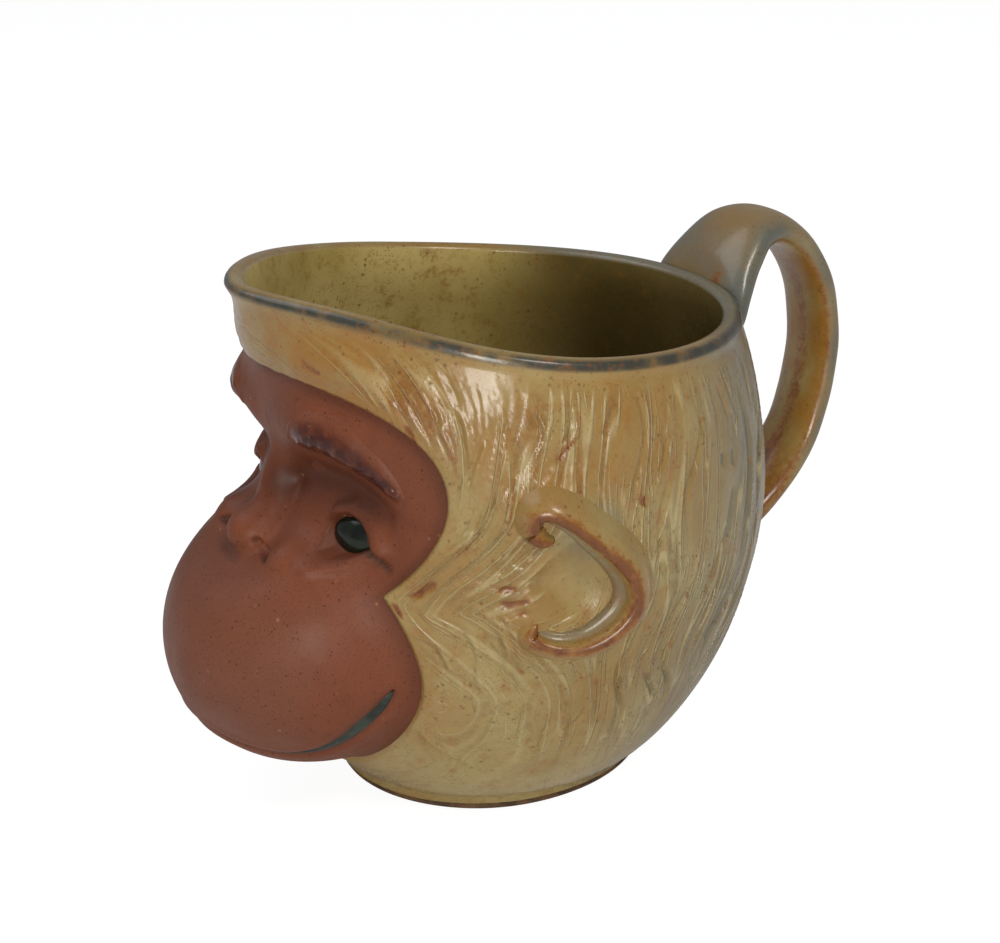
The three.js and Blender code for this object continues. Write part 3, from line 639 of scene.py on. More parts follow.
def new_mesh(name, points, faces, normals=None, colours=None):
    """A piece at the origin, from points in millimetres and faces; colours and normals are per point."""
    mesh = bpy.data.meshes.new(name)
    counts = np.array([len(face) for face in faces], np.int32)
    corners = np.concatenate([np.asarray(face, np.int32) for face in faces])
    mesh.vertices.add(len(points))
    mesh.vertices.foreach_set("co", (np.asarray(points) * MM).astype(np.float32).ravel())
    mesh.loops.add(len(corners))
    mesh.loops.foreach_set("vertex_index", corners)
    mesh.polygons.add(len(counts))
    mesh.polygons.foreach_set("loop_start", np.concatenate([[0], np.cumsum(counts)[:-1]]).astype(np.int32))
    mesh.update(calc_edges=True)
    mesh.polygons.foreach_set("use_smooth", np.ones(len(counts), bool))
    for key, values in (colours or {}).items():
        kind, field = ("FLOAT_VECTOR", "vector") if values.shape[1] == 3 else ("FLOAT_COLOR", "color")
        mesh.attributes.new(key, kind, "POINT").data.foreach_set(field, np.asarray(values, np.float32).ravel())
    if mesh.validate():
        raise ValueError(f"{name} had bad faces")
    if normals is not None:
        mesh.normals_split_custom_set_from_vertices(np.asarray(normals, np.float32).tolist())
    piece = bpy.data.objects.new(name, mesh)
    bpy.context.scene.collection.objects.link(piece)
    return piece


def quads(rows, columns, wrap=False, start=0, flip=False):
    """Faces of a grid whose points run row by row; wrap joins each row's last column to its first."""
    i = np.arange(rows - 1)[:, None] * columns
    j = np.arange(columns if wrap else columns - 1)[None]
    k = (j + 1) % columns
    face = np.stack([i + j, i + k, i + columns + k, i + columns + j], -1).reshape(-1, 4) + start
    return face[:, ::-1] if flip else face


def rings_mesh(name, rings, material, colours=None):
    """A closed piece from rings of equally many points, its ends closed by fans to their middles."""
    def with_middles(table):
        flat = table.reshape(-1, table.shape[-1])
        return np.concatenate([flat, table[0].mean(0)[None], table[-1].mean(0)[None]])

    rows, columns = rings.shape[:2]
    j = np.arange(columns)
    k = (j + 1) % columns
    first, last = np.full(columns, rows * columns), np.full(columns, rows * columns + 1)
    top = (rows - 1) * columns
    faces = [*quads(rows, columns, wrap=True), *np.stack([first, k, j], -1)]
    faces += [*np.stack([last, top + j, top + k], -1)]
    painted = {key: with_middles(value) for key, value in (colours or {}).items()}
    piece = new_mesh(name, with_middles(rings), faces, colours=painted)
    piece.data.materials.append(material)
    return piece


def turned_out(rings):
    """The rings in the sense that makes the piece face outward, by the sign of its volume."""
    rings = np.asarray(rings)
    middle = rings.reshape(-1, 3).mean(0)
    a = rings[:-1]
    b = np.roll(rings, -1, 1)[:-1]
    c = rings[1:]
    volume = (np.cross(a - middle, b - middle) * (c - middle)).sum()
    return rings if volume > 0 else rings[:, ::-1]


def feed(tree, node, sockets):
    """Sets or links a node's inputs."""
    for key, value in sockets.items():
        if isinstance(value, bpy.types.NodeSocket):
            tree.links.new(value, node.inputs[key])
        else:
            node.inputs[key].default_value = value


def add(tree, kind, sockets=(), **settings):
    """Adds a node with its settings and inputs."""
    node = tree.nodes.new(kind)
    for key, value in settings.items():
        setattr(node, key, value)
    feed(tree, node, dict(sockets))
    return node


def new_material(name):
    """An empty material with a surface shader; returns it, its tree, the shader and the place on the object."""
    material = bpy.data.materials.new(name)
    material.use_nodes = True
    tree = material.node_tree
    tree.nodes.clear()
    shader = add(tree, "ShaderNodeBsdfPrincipled")
    add(tree, "ShaderNodeOutputMaterial", {0: shader.outputs[0]})
    return material, tree, shader, add(tree, "ShaderNodeTexCoord").outputs["Object"]


def mix(tree, colour, *layers):
    """A colour with others laid over it, each given as a factor and a colour."""
    for factor, over in layers:
        sockets = {0: factor, 6: colour, 7: over}
        colour = add(tree, "ShaderNodeMix", sockets, data_type="RGBA").outputs[2]
    return colour


def maths(tree, operation, *values):
    """One step of arithmetic on values."""
    return add(tree, "ShaderNodeMath", dict(enumerate(values)), operation=operation).outputs[0]


def grade(tree, value, low, high, to_low=0.0, to_high=1.0):
    """Maps a value from one range to another, softly."""
    sockets = {"Value": value, "From Min": low, "From Max": high, "To Min": to_low, "To Max": to_high}
    return add(tree, "ShaderNodeMapRange", sockets, interpolation_type="SMOOTHSTEP").outputs[0]


def times(tree, *values):
    """The product of values."""
    product, *others = values
    for value in others:
        product = maths(tree, "MULTIPLY", product, value)
    return product


def bumped(tree, height, distance, strength, below=None):
    """A normal for relief of that many millimetres, over the normal below it."""
    sockets = {"Height": height, "Distance": distance * MM, "Strength": strength}
    if below is not None:
        sockets["Normal"] = below
    return add(tree, "ShaderNodeBump", sockets).outputs[0]


def grain(tree, place, size, detail=3.0, roughness=0.5):
    """Noise whose blotches are about that many millimetres wide."""
    sockets = {"Vector": place, "Scale": 0.6 / (size * MM), "Detail": detail, "Roughness": roughness}
    return add(tree, "ShaderNodeTexNoise", sockets).outputs[0]


def clouds(tree, place, size, low, high, to_low=0.0, to_high=1.0, detail=3.0, roughness=0.5):
    """Soft blotches about that many millimetres wide: noise graded from one range to another."""
    return grade(tree, grain(tree, place, size, detail, roughness), low, high, to_low, to_high)


def attribute(tree, name):
    """The red, green and blue of a colour attribute of the mesh."""
    held = add(tree, "ShaderNodeAttribute", attribute_name=name)
    return add(tree, "ShaderNodeSeparateColor", {0: held.outputs["Color"]}).outputs


def combed(tree, across, along, pitch, run, low, high):
    """Thin lines along the strands, where noise stretched along them is from low to high off its middle."""
    sockets = {0: times(tree, across, 1 / (pitch * MM)), 1: times(tree, along, 1 / (run * MM))}
    sockets = {"Vector": add(tree, "ShaderNodeCombineXYZ", sockets).outputs[0], "Scale": 1.0, "Detail": 1.0,
               "Roughness": 0.35}
    noise = add(tree, "ShaderNodeTexNoise", sockets).outputs[0]
    away = maths(tree, "ABSOLUTE", maths(tree, "SUBTRACT", noise, 0.5))
    middle = (low + high) / 2
    return times(tree, grade(tree, away, low, middle), grade(tree, away, high, middle))


def specks(tree, place, size, held_share, strength):
    """Round specks of about that many millimetres, of which only a share holds iron."""
    cell = add(tree, "ShaderNodeTexVoronoi", {"Vector": place, "Scale": 1 / (size * MM)})
    chance = add(tree, "ShaderNodeSeparateColor", {0: cell.outputs["Color"]}).outputs[0]
    held = grade(tree, chance, held_share, held_share - 0.03)
    return times(tree, held, grade(tree, cell.outputs["Distance"], 0.45, 0.18), strength)


def either(tree, first, second):
    """The greater of two values."""
    return maths(tree, "MAXIMUM", first, second)


def glaze_material(name, colours):
    """Straw ash glaze over combed stoneware, salted with iron.

    The glaze thins to cream on the ridges, goes honey and breaks rust where it ran thin over iron-bearing
    strokes, and pools slate grey in the deep grooves at the back; the same slate marks also carry painted shade
    in the ears' hollows. Pale and brown combed lines follow the strands, the rust breaks up along them in small
    crumbs, and iron specks pepper it all over. Inside the jug it is olive, painted pale to stand in for light,
    with painted shade darkening it toward the back. The gloss is satin, with the soft dimples of a thick glaze."""
    material, tree, shader, place = new_material(name)
    brown, slate, relief = attribute(tree, "marks")[:3]
    inside, warm, lip = attribute(tree, "zones")[:3]
    strand = add(tree, "ShaderNodeAttribute", attribute_name="strand").outputs["Vector"]
    across, along, amount = add(tree, "ShaderNodeSeparateXYZ", {0: strand}).outputs
    patchy = times(tree, amount, clouds(tree, place, 9, 0.42, 0.6))
    thin = times(tree, combed(tree, across, along, 2.8, 26, -0.03, 0.03), patchy)
    bold = times(tree, combed(tree, across, along, 6.2, 60, 0.022, 0.066), amount)
    pale = either(tree, times(tree, thin, 0.8), bold)
    furrow = times(tree, combed(tree, across, along, 6.2, 60, -0.035, 0.035), amount)
    freckled = clouds(tree, place, 1.4, 0.38, 0.62, detail=4, roughness=0.7)
    # painted shade: the inside goes darker toward the back through the slate channel
    olive = mix(tree, colours.olive, (clouds(tree, place, 26, 0.36, 0.62), OLIVE_STAIN), (slate, OLIVE_PAINTED_SHADE))
    crumbs = clouds(tree, place, 0.9, 0.36, 0.62, detail=4, roughness=0.75)
    ragged = either(tree, times(tree, brown, crumbs), times(tree, brown, brown, 0.75))
    ragged = either(tree, ragged, times(tree, furrow, warm, crumbs, 0.6))
    worn = clouds(tree, place, 5, 0.3, 0.55, 0.5, 1.0)
    thick = clouds(tree, place, 9, 0.35, 0.7, 0.3, 1.0)
    tawny = clouds(tree, place, 2.2, 0.5, 0.7, 0, 0.55, detail=5, roughness=0.75)
    now = mix(
        tree, colours.straw,
        (clouds(tree, place, 16, 0.35, 0.68), colours.cream),
        (times(tree, warm, clouds(tree, place, 7, 0.3, 0.62)), colours.honey),
        (grade(tree, relief, 0.55, 1.0, 0, 0.4), RIDGE),
        (grade(tree, relief, 0.46, 0.0, 0, 0.32), FURROW),
        (times(tree, slate, 0.9), colours.slate),
        (times(tree, pale, 0.45), COMBED_PALE),
        (times(tree, furrow, freckled, 0.6), COMBED_BROWN),
        (inside, olive),
        (times(tree, clouds(tree, place, 3.2, 0.56, 0.74, detail=4, roughness=0.65), 0.4), BLOTCH),
        (grade(tree, ragged, 0, 0.5), RUST_EDGE),
        (grade(tree, ragged, 0.35, 1.0, 0, 0.95), colours.rust),
        (times(tree, lip, worn), WORN_LIP),
        (times(tree, tawny, grade(tree, slate, 0, 1, 1, 0.2)), TAWNY),
        (times(tree, specks(tree, place, 0.55, 0.3, 0.65), thick), IRON_SPECK),
        (times(tree, specks(tree, place, 1.2, 0.13, 0.75), thick), IRON_SPECK))
    dimples = bumped(tree, grain(tree, place, 1.6, 2, 0.4), 0.14, 0.6)
    dimples = bumped(tree, grain(tree, place, 0.45, 2, 0.5), 0.05, 0.5, dimples)
    feed(tree, shader, {
        "Base Color": now, "Roughness": clouds(tree, place, 5, 0.3, 0.7, 0.24, 0.38, detail=4),
        "Specular IOR Level": 0.38, "Coat Weight": 0.25, "Coat Roughness": 0.12,
        "Normal": bumped(tree, pale, 0.3, 0.9, dimples)})
    return material


def clay_material(name, colours, washed=False):
    """Bare red-brown stoneware, burnished with a wet finger and salted with dark iron specks.

    Shade is painted darker into the hollows, a mauve sheen is painted on the muzzle, and the surface has the fine
    tooth of fired clay.
    Washed, it carries a thin glossy purple-brown slip that fades out at its edges."""
    material, tree, shader, place = new_material(name)
    painted_hollow_shade, painted_sheen, ink = attribute(tree, "marks")[:3]
    if washed:
        inked = (times(tree, ink, clouds(tree, place, 1.6, 0.3, 0.6, 0.45, 1.0, detail=4)), PURPLE_WASH)
        roughness = grade(tree, ink, 0.1, 0.7, 0.5, 0.2)
    else:
        inked = (ink, GREY_INK)
        roughness = clouds(tree, place, 6, 0.3, 0.7, 0.46, 0.6, detail=4)
    now = mix(
        tree, colours.clay,
        (times(tree, clouds(tree, place, 14, 0.3, 0.7, detail=4), 0.5), CLAY_LIGHT),
        (times(tree, clouds(tree, place, 4, 0.4, 0.75, detail=4), 0.35), CLAY_CLOUD),
        # painted sheen in mauve
        (times(tree, painted_sheen, 0.6), colours.mauve),
        # painted shade, darkest in the hollows
        (times(tree, painted_hollow_shade, 0.85), colours.clay_dark),
        inked,
        (specks(tree, place, 0.42, 0.36, 0.62), colours.clay_dark),
        (specks(tree, place, 0.8, 0.1, 0.7), colours.clay_dark),
        (specks(tree, place, 1.3, 0.012, 0.6), SAND_SPECK))
    tooth = bumped(tree, grain(tree, place, 0.5, 4, 0.6), 0.06, 0.6)
    feed(tree, shader, {
        "Base Color": now, "Roughness": roughness, "Specular IOR Level": 0.22, "Coat Weight": 0.05,
        "Coat Roughness": 0.35, "Normal": bumped(tree, grain(tree, place, 4, 2), 0.2, 0.4, tooth)})
    return material


def gloss_material(name, base, second, size, roughness):
    """A glossy glaze clouded between two colours in blotches of that size, with soft dimples that wobble its
    highlight."""
    material, tree, shader, place = new_material(name)
    feed(tree, shader, {
        "Base Color": mix(tree, base, (clouds(tree, place, size, 0.35, 0.65, 0, 1, 4, 0.6), second)),
        "Roughness": clouds(tree, place, size * 0.6, 0.3, 0.7, roughness, roughness + 0.12),
        "Specular IOR Level": 0.35, "Normal": bumped(tree, grain(tree, place, 0.9, 2), 0.03, 0.7)})
    return material


def foot_material(name, colours):
    """Bare brown foot clay, wiped so that it is streaked paler, with a coarse tooth."""
    material, tree, shader, place = new_material(name)
    streak = clouds(tree, place, 3, 0.35, 0.7, detail=5, roughness=0.65)
    feed(tree, shader, {
        "Base Color": mix(tree, colours.foot, (streak, FOOT_RUBBED)), "Roughness": 0.7,
        "Normal": bumped(tree, grain(tree, place, 0.6, 5, 0.7), 0.15, 0.8)})
    return material


def paper_material(name, colours):
    """A white floor that the camera sees as plain white and that still takes the jug's shadow in other rays."""
    material, tree, shader, _ = new_material(name)
    feed(tree, shader, {"Base Color": PAPER_LIT, "Roughness": 0.9})
    white = add(tree, "ShaderNodeEmission", {"Color": colours.paper, "Strength": 1.16}).outputs[0]
    seen = times(tree, add(tree, "ShaderNodeLightPath").outputs["Is Camera Ray"], 0.8)
    blend = add(tree, "ShaderNodeMixShader", {0: seen, 1: shader.outputs[0], 2: white}).outputs[0]
    feed(tree, next(node for node in tree.nodes if node.type == "OUTPUT_MATERIAL"), {0: blend})
    return material


def material_of(name, maker, *values):
    """The material of that name, made once."""
    return bpy.data.materials.get(name) or maker(name, *values)


# Middle line of the ear's roll, from the tip of the lobe round the back and over to the curl in front: place
# behind and above the ear's middle, half width, and stand above the head's skin
EAR_KNOTS = [
    (-9.7, -10.4, 1.6, 1.4), (-10.9, -13.0, 2.3, 2.6), (-8.7, -15.1, 2.6, 3.2), (-5.0, -16.3, 2.8, 3.8),
    (0, -16.0, 3.1, 4.6), (4.7, -13.6, 3.4, 5.4), (8.2, -10.2, 3.6, 5.8), (9.9, -6.2, 3.7, 6.0),
    (9.3, -1.4, 3.7, 5.9), (6.2, 3.6, 3.5, 5.6), (1.7, 8.6, 3.3, 5.3), (-2.9, 13.0, 3.1, 4.9),
    (-7.0, 15.2, 3.0, 4.4), (-10.0, 13.8, 2.7, 3.8), (-10.3, 10.6, 2.3, 3.0), (-8.5, 8.2, 1.9, 2.2),
    (-6.0, 7.6, 1.5, 1.4),
]


def ear_path(trim):
    """The ear's middle line as points in the YZ plane, with the roll's half width and stand at each."""
    return smooth_line(EAR_KNOTS, 220) + (trim.ear_back, trim.ear_height, 0, 0)


# Section of the ear's roll, from its outer foot over the crest to the step inside and back below the skin:
# shares of the half width outward and of the crest's height
EAR_SECTION = [
    (1.55, -0.25), (1.28, 0.05), (0.92, 0.40), (0.5, 0.76), (0.12, 0.96), (-0.25, 1.0), (-0.52, 0.91),
    (-0.66, 0.72), (-0.70, 0.5), (-0.84, 0.37), (-1.04, 0.26), (-1.12, 0.02), (-1.08, -0.3), (0.2, -0.42),
]


def cast(field, start, direction, first, last, steps):
    """Where straight rays in one direction meet a field, coming in from first to last."""
    rays = np.broadcast_to(np.array(direction, float), start.shape)
    return start + rays * meet(field, start, rays, first, last, steps)[..., None]


def side_point(head, y, z):
    """Where the skin is on the +X side at these places."""
    start = np.stack([np.zeros_like(y), y, z], -1)
    return cast(lambda p: head_field(head, p), start, (1, 0, 0), 75.0, 30.0, 45)


class JUG_OT_hair(bpy.types.Operator):
    """Builds the glazed head, combed outside and smooth inside, in two halves that meet in the middle plane"""
    bl_idname = "jug.hair"
    bl_label = "Hair"

    # Steps round a half and up its outside, over the lip and down the inside; the lip's shape in millimetres;
    # and how far the middle of the underside lies above the foot disc's top
    columns, rows, lip_rows, inner_rows = 396, 206, 9, 26
    lip_drop, lip_rise, foot_gap = 0.2, 1.5, 0.3

    def execute(self, context):
        head, face, trim = sizes(context, "head", "face", "trim")
        table = rough_reach(head)
        chart = HairChart()
        material = material_of("straw_ash_glaze", glaze_material, context.scene.jug_colours)
        path = ear_path(trim)
        ear = side_point(head, path[:, 0], path[:, 1])
        for hand, name in ((1, "hair_left"), (-1, "hair_right")):
            piece = self.half(head, face, table, chart, ear, hand, name)
            piece.data.materials.append(material)
            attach(piece, "root")
            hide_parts("body_shell")
        return {"FINISHED"}

    def angles(self):
        """Angles from the face to the back, wider apart in front, and two spare ones at each end."""
        fine = np.linspace(0, np.pi, 2000)
        density = 0.55 + 0.45 * smoothstep(0.35, 0.75, fine)
        count = np.concatenate([[0], np.cumsum((density[1:] + density[:-1]) / 2)])
        angle = np.interp(np.linspace(0, count[-1], self.columns + 1), count, fine)
        first, last = angle[1], np.pi - angle[-2]
        return np.concatenate([[-2 * first, -first], angle, [np.pi + last, np.pi + 2 * last]])

    def relief(self, head, face, chart, ear, hand, angle, points):
        """Height of the glaze over the plain skin, and the marks, zones and strands that the material reads.

        The combing is calmer at the rim, at the foot, over the temple, on the cheek and in the ear. The glaze
        stands over the face's edge in a roll, rises to a bead at the rim and to a seat round the ear, and sinks
        in the ear."""
        side, y, z = hand * points[..., 0], points[..., 1], points[..., 2]
        turned = np.abs(angle)
        away = mask_distance(face, points)
        drop = rim_height(head, angle) - z
        comb, cut, ridge, groove, slate, brown = (
            chart.at(table, hand * angle, z)
            for table in (chart.comb, chart.cut, chart.ridge, chart.groove, chart.slate, chart.brown))
        cheek = bump(turned, 0.95, 0.4) * smoothstep(72, 58, z)
        flank = smoothstep(40, 50, side)
        middle = ear.mean(0)
        in_ear = bump(y, middle[1] - 0.5, 9) * bump(z, middle[2] - 0.5, 12.5) * flank
        gap = np.full(z.shape, 1e9)
        for place in ear[::6]:
            gap = np.minimum(gap, np.linalg.norm(points * (hand, 1, 1) - place, axis=-1))
        calm = smoothstep(2.5, 8, drop) * (0.35 + 0.65 * smoothstep(12, 30, z))
        calm *= 1 - 0.7 * bump(turned, 1.16, 0.17) * smoothstep(99, 104, z)
        calm *= (0.4 + 0.6 * smoothstep(0.5, 0.8, turned)) * (1 - 0.9 * smoothstep(0.45, 0.8, in_ear))
        even = 0.75 - 0.35 * smoothstep(1.2, 1.6, turned) - 0.45 * cheek
        height = comb * calm * even + cut * 1.1 * np.clip(calm + 0.25, 0, 1) * smoothstep(1, 4, drop)
        height += 0.6 * smoothstep(8.5, 3.5, gap) - 2.0 * smoothstep(0.35, 0.95, in_ear)
        brow = (0.1 + 0.9 * smoothstep(0.1, 0.5, turned)) * bump(turned, 0, 0.75)
        height += brow * bump(away, 4.5, 4.2) * smoothstep(2, 7, drop) + 0.45 * smoothstep(2.6, 0.6, drop)
        roll = face.ledge * (0.35 + 0.65 * smoothstep(13, 3, away))
        height = np.where(away < 6, height * smoothstep(-0.5, 3.5, away), height)
        height = (height + roll) * smoothstep(-1.1, 0.5, away) - 2.2 * smoothstep(0.2, -1.2, away)
        relief = 0.5 + 0.5 * np.clip(ridge - groove, -1, 1) * calm
        deep = smoothstep(0.1, 0.9, groove)
        slate = np.maximum.reduce([
            0.85 * slate,
            (0.55 + 0.4 * deep) * smoothstep(1.75, 2.35, turned) * smoothstep(114, 98, z),
            (0.4 + 0.5 * deep) * smoothstep(1.45, 2.1, turned) * smoothstep(106, 46, z),
            # Upper hollow of the ear: painted shade, partly a grey-olive tint of the glaze
            0.5 * smoothstep(0.3, 0.8, bump(y, -6, 8) * bump(z, 77, 8)) * flank,
            0.8 * smoothstep(7, 1, drop) * smoothstep(1.7, 2.4, turned)])
        warm = 0.75 * smoothstep(92, 108, z) * smoothstep(1.5, 0.3, turned) + 0.45 * smoothstep(14, 2, away)
        warm += 0.55 * bump(turned, 1.55, 0.5) * smoothstep(76, 92, z) + 0.4 * smoothstep(9, 4, gap)
        amount = np.clip(calm, 0, 1) * smoothstep(0.5, 3, away) * (1 - 0.5 * cheek)
        across, along = (chart.at_side(table, angle, z) * MM for table in (chart.across, chart.along))
        return (height, paint(z.shape, brown, slate, relief),
                paint(z.shape, 0, np.clip(warm, 0, 1), smoothstep(1.3, 0.5, drop)),
                np.stack([across, along, amount], -1))

    def lip(self, head, edge):
        """A half round from the outer edge over to the inner edge."""
        level = unit(edge[:, :2])
        bend = np.linspace(0, np.pi, self.lip_rows + 1)[1:]
        lip = np.zeros((len(edge), self.lip_rows, 3))
        inward = head.lip_width / 2 * (1 - np.cos(bend))
        lip[..., :2] = edge[:, None, :2] - level[:, None] * inward[None, :, None]
        lip[..., 2] = edge[:, None, 2] - self.lip_drop + self.lip_rise * np.sin(bend)[None]
        return lip

    def inside(self, head, face, angle, lip_end):
        """Where rays from the middle, from below the lip to the floor, meet the skin drawn in by the wall."""
        middle = head_middle(head)
        first = lip_end - middle
        top = np.arctan2(first[:, 2], np.linalg.norm(first[:, :2], axis=1))
        down = np.linspace(0, 1, self.inner_rows + 2)[1:-1]
        fall = top[:, None] + (-np.pi / 2 - top[:, None]) * down[None]
        rays = np.stack([np.cos(fall) * np.sin(angle), -np.cos(fall) * np.cos(angle), np.sin(fall)], -1)
        front = smoothstep(0, 0.5, np.cos(angle)) * (1 - np.clip((fall + 1.04) / 1.8, 0, 1) ** 4)
        wall = head.wall + face.thickness * front
        reach = meet(lambda p: head_distance(head, p) + wall, middle, rays, 92.0, 12.0, 40, 10)
        plane = (head.foot_height + head.floor - head.belly_height) / np.minimum(np.sin(fall), -1e-3)
        reach = np.where(fall < 0, smooth_min(reach, plane, 3.0), reach)
        return middle + rays * reach[..., None]

    def half(self, head, face, table, chart, ear, hand, name):
        """One half as a closed shell: outside, lip and inside, a fan under the foot and one on the floor, and
        a flat seam in the middle plane."""
        angle, rise = np.meshgrid(self.angles(), np.linspace(0, 1, self.rows), indexing="ij")
        outer = skin(head, table, angle, rise)
        outer[..., 0] *= hand
        normal = grid_normals(outer) * hand
        height, *paints = self.relief(head, face, chart, ear, hand, angle, outer)
        outer = outer + normal * height[..., None]
        lip = self.lip(head, outer[:, -1])
        outer[:, -1, 2] -= self.lip_drop
        inner = self.inside(head, face, angle[:, :1], lip[:, -1])
        inner[..., 0] *= hand
        shell = np.concatenate([outer, lip, inner], 1)
        normals = grid_normals(shell) * hand
        extra = self.lip_rows + self.inner_rows
        marks, zones, strand = (np.concatenate([t, np.repeat(t[:, -1:], extra, 1)], 1) for t in paints)
        beyond, within = slice(self.rows, None), self.rows + self.lip_rows
        marks[:, beyond, 0] = 0
        marks[:, self.rows:within, 1] = 0.8 * smoothstep(2.0, 2.5, np.abs(angle[:, :1]))
        # Inside, the slate channel is painted shade, darker toward the back
        marks[:, within:, 1] = 0.9 * smoothstep(16, 52, inner[..., 1])
        marks[:, beyond, 2] = 0.5
        zones[:, beyond, 0] = smoothstep(0, 1.6, np.arange(extra) - self.lip_rows * 0.7)[None]
        zones[:, beyond, 1] = 0.2
        zones[:, beyond, 2] *= smoothstep(3.2, 1, np.arange(extra))[None]
        strand[:, beyond, 2] = 0
        shell, normals, marks, zones, strand = (t[2:-2] for t in (shell, normals, marks, zones, strand))
        shell[[0, -1], :, 0] = 0
        count, rows = shell.shape[:2]
        poles = np.array([[0, 0, head.foot_height + self.foot_gap], [0, 0, shell[0, -1, 2]]])
        points = np.concatenate([shell.reshape(-1, 3), poles])
        normals = np.concatenate([normals.reshape(-1, 3), [[0, 0, -1], [0, 0, 1]]])
        colours = {
            key: np.concatenate([t.reshape(-1, t.shape[-1]), t[0, :1], t[0, -1:]])
            for key, t in (("marks", marks), ("zones", zones), ("strand", strand))}
        under, floor = count * rows, count * rows + 1
        j = np.arange(count - 1)
        low_fan = np.stack([np.full(count - 1, under), (j + 1) * rows, j * rows], -1)
        high_fan = np.stack([np.full(count - 1, floor), j * rows + rows - 1, (j + 1) * rows + rows - 1], -1)
        fans = np.concatenate([low_fan, high_fan])
        seam = [under, *range(rows), floor, *range(count * rows - 1, (count - 1) * rows - 1, -1)]
        faces = [*quads(count, rows, flip=hand > 0), *fans[:, ::hand], seam[::hand]]
        return new_mesh(name, points, faces, normals=normals, colours=colours)


class JUG_OT_face(bpy.types.Operator):
    """Builds the bare clay face with its nose, eye sockets, lids and mouth groove"""
    bl_idname = "jug.face"
    bl_label = "Face"

    # Steps round the face and outward, and those of the coarse fan that finds its edge, with its widest spread
    around, rings, back_rings = 360, 176, 14
    turns, spreads, widest = 121, 90, 1.75

    def execute(self, context):
        head, face = sizes(context, "head", "face")
        material = material_of("bare_red_stoneware", clay_material, context.scene.jug_colours)
        around, rings = self.around, self.rings
        origin, rays_of = face_fan()
        turned = np.linspace(0, 2 * np.pi, around, endpoint=False)
        turns = np.linspace(0, 2 * np.pi, self.turns)
        rough_rays = rays_of(*np.meshgrid(turns, np.linspace(0, self.widest, self.spreads), indexing="ij"))
        rough = meet(lambda p: head_field(head, p), origin, rough_rays, 95.0, 10.0, 90)
        # Spread at which each turn of the coarse fan comes to the face's edge
        ends = []
        for line in mask_distance(face, origin + rough_rays * rough[..., None]):
            k = int(np.argmax(line > face.tuck))
            part = (face.tuck - line[k - 1]) / (line[k] - line[k - 1])
            ends.append((k - 1 + part) * self.widest / (self.spreads - 1))
        end = np.interp(turned, turns, ends)
        a = np.broadcast_to(turned[None], (rings, around))
        s = (np.linspace(0, 1, rings + 1)[1:, None] ** 1.05) * end[None]
        rays = rays_of(a, s)
        start = look_up(rough, a / (2 * np.pi) * (self.turns - 1), s / self.widest * (self.spreads - 1))
        plain = meet(lambda p: head_field(head, p), origin, rays, start + 2, start - 2, 4, 11)
        reach = meet(lambda p: face_field(head, face, p), origin, rays, plain + 11, plain - 6, 30, 11)
        front = origin + rays * (reach + mouth_groove(origin + rays * reach[..., None]))[..., None]
        marks = face_marks(face, front)
        # Skirt and back: the edge turns in under the hair, and a plainer back closes the piece
        edge = front[-1]
        skirt = edge + unit(origin - edge) * face.back / 2
        back_shares = np.linspace(1, 0, self.back_rings, endpoint=False)
        picked = [min(int(round(t * rings)) - 1, rings - 1) for t in back_shares]
        back = [origin + rays[k] * np.minimum(plain[k] - face.back, reach[k] - 1)[:, None] for k in picked]
        shell = np.concatenate([front, skirt[None], np.stack(back)])
        colours = np.concatenate([marks, np.repeat(marks[-1:], 1 + len(back), 0)])
        piece = rings_mesh("face", shell, material, {"marks": colours})
        fix_facing(piece)
        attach(piece, "root")
        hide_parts("face_panel", "nose")
        return {"FINISHED"}


def face_fan():
    """The point inside the head from which the face is seen, and its rays by turn and spread about the nose."""
    origin = np.array([0.0, -15.0, 55.0])
    pole = unit(np.array([0.0, -59.0, 65.0]) - origin)
    side = np.array([1.0, 0, 0])
    up = unit(np.cross(side, pole))
    up = up * np.sign(up[2])

    def rays_of(a, s):
        sideways = np.cos(a)[..., None] * side + np.sin(a)[..., None] * up
        return np.cos(s)[..., None] * pole + np.sin(s)[..., None] * sideways

    return origin, rays_of


# Lines of the left eye, as places outward and up from its middle
EYE_OUTLINE = [
    (-4.5, -0.3), (-4.0, 2.0), (-2.3, 3.7), (0.2, 4.2), (2.4, 3.3), (4.2, 1.5), (6.0, -0.9), (4.2, -2.2),
    (2.2, -3.4), (-0.4, -4.0), (-3.0, -3.1), (-4.5, -0.3),
]
UPPER_LID = [(-4.8, 3.2), (-2.6, 5.6), (0.8, 6.9), (4.4, 6.0), (7.4, 3.4), (9.8, -0.6)]
OUTER_CREASE = [(5.2, -0.6), (7.2, -2.0), (9.0, -3.2), (10.6, -4.6)]
LOWER_LID = [(-5.2, -3), (-3, -5.4), (0.6, -6.3), (4.6, -5.2)]
# Lines of the left brow, as places outward from the middle and up from the ground, and its length and height
BROW_RIDGE = [(10, 91.6), (14.5, 93.4), (19.5, 94.4), (24.5, 93.8), (29, 91.8), (33, 88.8), (36.6, 84.8)]
BROW_HOLLOW = [(6, 79), (10, 81.6), (15, 83.2), (21, 83), (27, 80.8), (32, 78.6)]
BROW_SHADE = [(5, 79), (12, 82), (20, 82.6), (29, 80.6)]
BROW_TOP = [
    (11.6, 92), (13.6, 96), (17.6, 99), (22.8, 100.2), (28, 98.8), (32.4, 95.6), (36, 91.2), (38.4, 87),
    (39.2, 84),
]
BROW_LOW = [
    (11.6, 91.4), (14, 89.4), (18.2, 88.8), (22.8, 88.4), (27, 86.8), (31, 84.6), (34.6, 82.6), (37.6, 81.8),
    (39.2, 83.4),
]
BROW_SPAN = (27, 11)
# Comma of the left nostril, from its round end to its tail: place and half width
NOSTRIL = [
    (6.4, -58.4, 67.0, 0.8), (7.8, -58.3, 66.7, 1.05), (9.8, -58.3, 66.1, 1.0), (12, -58.5, 65.4, 0.85),
    (13.8, -58.9, 64.6, 0.5),
]
